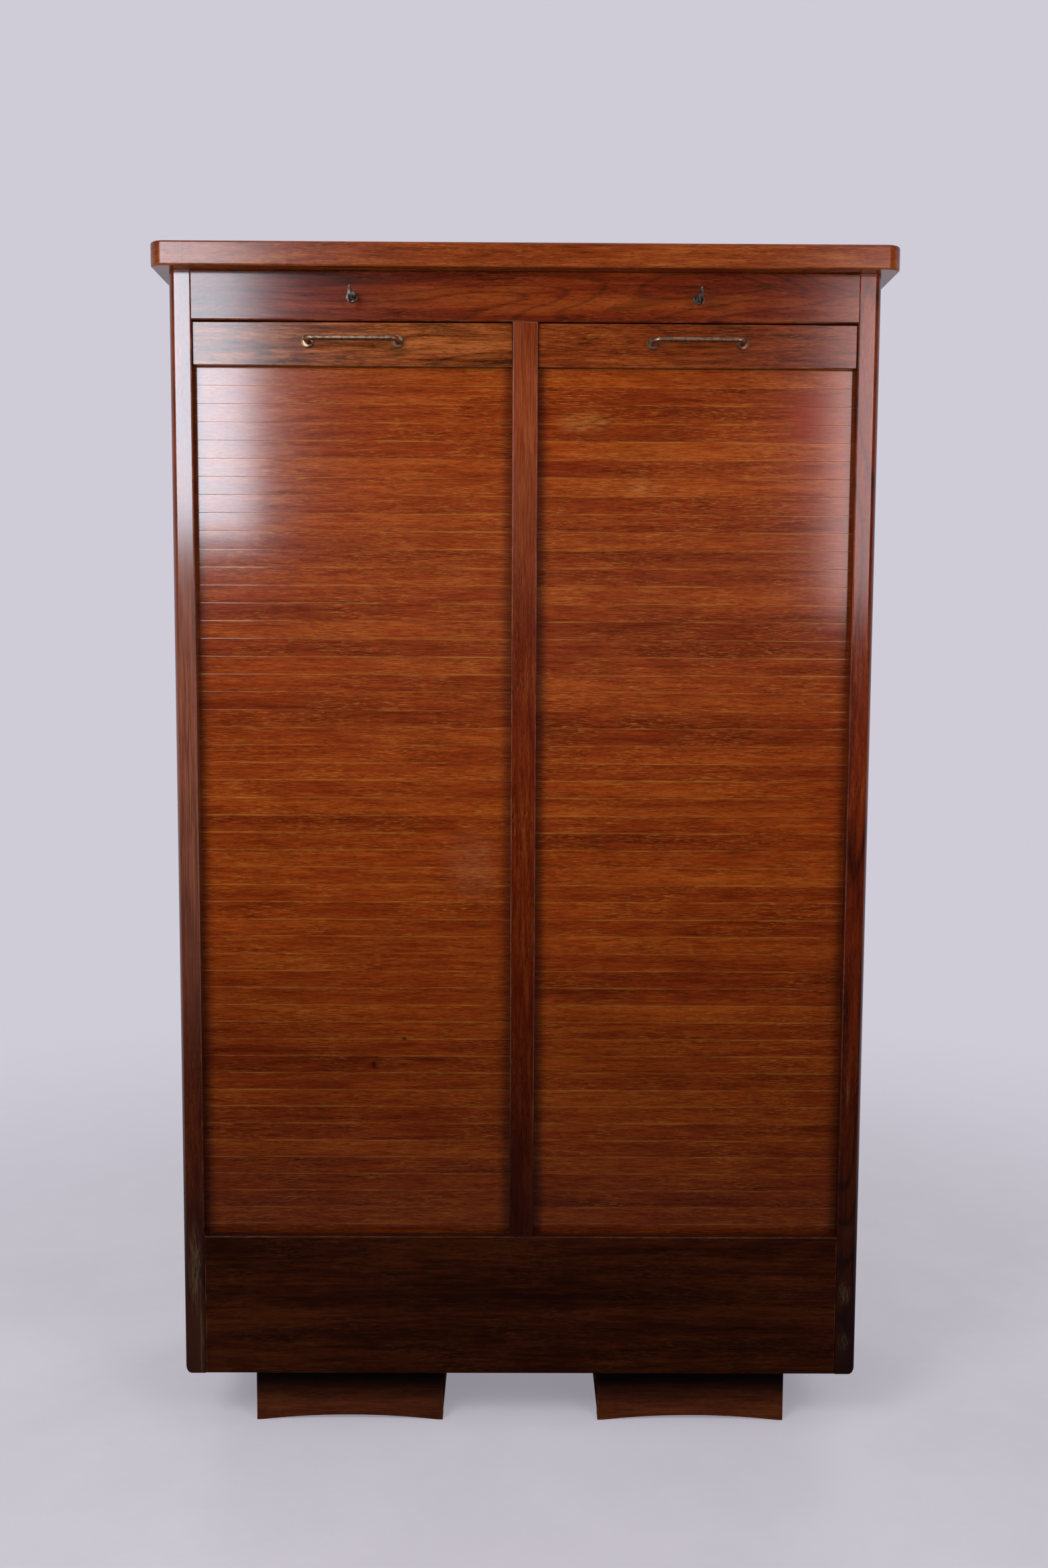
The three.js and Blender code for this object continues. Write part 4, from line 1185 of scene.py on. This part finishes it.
@dataclass
class Studio:
    """The camera, the lamps, the pale floor and the pale surroundings."""

    lens: float = 34.456
    sensor: float = 36.0
    eye: Triple = (-0.01101, -2.22845, 1.11718)
    yaw: float = -0.005883
    pitch: float = 0.08908
    roll: float = 0.00481
    floor_size: float = 5.2
    floor_fade: Pair = (2.55, 0.7)
    floor_lift: Colour = (0.26, 0.25, 0.29, 1.0)
    floor_in_gloss: str = "2a272a"
    floor_tones: tuple[str, str] = ("cfccd3", "d8d5dc")
    floor_roughness: float = 0.7
    backdrop: str = "cfccd8"
    ambient: float = 0.12
    front: float = 0.02
    lamps: tuple[Lamp, ...] = (
        Lamp("window", (-1.05, -1.75, 1.78), (-0.2, -0.18, 1.2), 0.95, 1.0, 7.4),
        Lamp(
            "window_shine", (-1.1, -1.75, 1.81), (-0.95, -0.18, 1.7), 0.95, 0.9, 10.2, (0.78, 0.88, 1.0),
            shines=True, fade=0.07,
        ),
        Lamp("right_window", (1.05, -1.75, 1.6), (0.3, -0.18, 1.3), 0.6, 0.9, 5.0),
        Lamp("right_shine", (1.02, -1.75, 1.62), (0.9, -0.18, 1.6), 0.6, 0.9, 5.0, (1.0, 0.7, 0.7), shines=True),
        Lamp("front", (0.0, -1.25, 1.22), (0.0, -0.18, 1.22), 1.2, 0.5, 1.7, (1.0, 0.98, 0.96)),
        Lamp("rear_left", (-1.5, 2.3, 2.1), (-0.2, 0.2, 0.9), 1.4, 1.2, 2.6),
        Lamp("rear_right", (1.5, 2.3, 2.1), (0.2, 0.2, 0.9), 1.4, 1.2, 2.6, (1.0, 0.98, 0.96)),
        Lamp("overhead", (0.2, -1.2, 3.0), (0.0, -0.1, 1.1), 1.6, 1.0, 1.4, (1.0, 0.99, 0.98)),
    )

    def camera(self) -> None:
        """Adds the camera at the photograph's angle."""
        data = bpy.data.cameras.new("camera")
        data.lens, data.sensor_width = self.lens, self.sensor
        made, stand = added("camera", data), Matrix.Translation(self.eye)
        for angle, axis in ((self.yaw, "Z"), (math.pi / 2 - self.pitch, "X"), (self.roll, "Z")):
            stand @= Matrix.Rotation(angle, 4, axis)
        made.matrix_world = stand
        bpy.context.scene.camera = made

    def surroundings(self) -> None:
        """Makes the dim light from all round, and the pale backdrop that the camera and gloss see.

        Gloss sees it pale behind, above and beside the cabinet, and dim in front, as in a room.
        """
        world = bpy.data.worlds.new("studio")
        bpy.context.scene.world = world
        world.use_nodes = True
        graph = Graph(world.node_tree)
        world.node_tree.nodes.clear()
        rays = graph.node("ShaderNodeLightPath").outputs
        way = graph.split(graph.node("ShaderNodeTexCoord").outputs["Generated"])
        behind = graph.math("MAXIMUM", graph.remap(way[1], -0.5, 0.1), graph.remap(way[2], 0.45, 0.9))
        dim = graph.remap(behind, 0.0, 1.0, self.front, 1.0)
        shown = graph.math("MAXIMUM", rays["Is Camera Ray"], dim)
        seen = graph.math("MAXIMUM", rays["Is Camera Ray"], rays["Is Glossy Ray"])
        seen = graph.math("MAXIMUM", seen, rays["Is Transmission Ray"])
        light = graph.node("ShaderNodeBackground", {0: (0.97, 0.97, 1.0, 1.0), 1: self.ambient})
        plain = graph.node("ShaderNodeBackground", {0: tone(self.backdrop), 1: shown})
        both = graph.node("ShaderNodeMixShader", {0: seen, 1: light.outputs[0], 2: plain.outputs[0]})
        graph.node("ShaderNodeOutputWorld", {0: both.outputs[0]})

    def floor(self) -> None:
        """Adds a pale floor that fades into the backdrop away from the cabinet."""
        data = bpy.data.meshes.new("floor")
        half = self.floor_size / 2
        corners = [(-half, -half, 0), (half, -half, 0), (half, half, 0), (-half, half, 0)]
        data.from_pydata(corners, [], [(0, 1, 2, 3)])
        made = added("floor", data)
        graph = Surface("floor")
        place = graph.place()
        mottle = graph.noise(place, (3, 3, 3), 5, 0.6)
        colour = graph.mix(graph.remap(mottle, 0.3, 0.7), *map(tone, self.floor_tones))
        rays = graph.node("ShaderNodeLightPath").outputs
        colour = graph.mix(rays["Is Glossy Ray"], colour, tone(self.floor_in_gloss))
        lift = graph.mix(rays["Is Camera Ray"], (0.0, 0.0, 0.0, 1.0), self.floor_lift)
        inputs = {"Base Color": colour, "Roughness": self.floor_roughness}
        graph.feed(graph.shader, {**inputs, "Emission Color": lift, "Emission Strength": 1.0})
        clear = graph.node("ShaderNodeBsdfTransparent").outputs[0]
        shown = graph.remap(graph.reach(place), *self.floor_fade)
        both = graph.node("ShaderNodeMixShader", {0: shown, 1: clear, 2: graph.shader.outputs[0]})
        graph.feed(graph.tree.nodes["Material Output"], {0: both.outputs[0]})
        data.materials.append(graph.material)

    def build(self) -> None:
        """Sets the whole studio up."""
        scene = bpy.context.scene
        scene.view_settings.view_transform = "Standard"
        self.camera()
        self.surroundings()
        self.floor()
        for lamp in self.lamps:
            lamp.build()


def main() -> None:
    """Builds the studio and dresses the cabinet, one sub-assembly after another."""
    logging.basicConfig(level=logging.INFO, format="%(message)s")
    Studio().build()
    dresser = Dresser()
    Carcase(dresser).dress()
    Screws().build()
    for side in Side:
        seed = SLAT_OAK.seed + side.value * SLAT_OAK.side_seed
        finish = replace(SLAT_OAK, name=f"slat_oak_{side.word}", seed=seed, patches=SCUFFS[side])
        Tambour(side, dresser, finish).dress()
        Lock(side, dresser).dress()


if __name__ == "__main__":
    main()
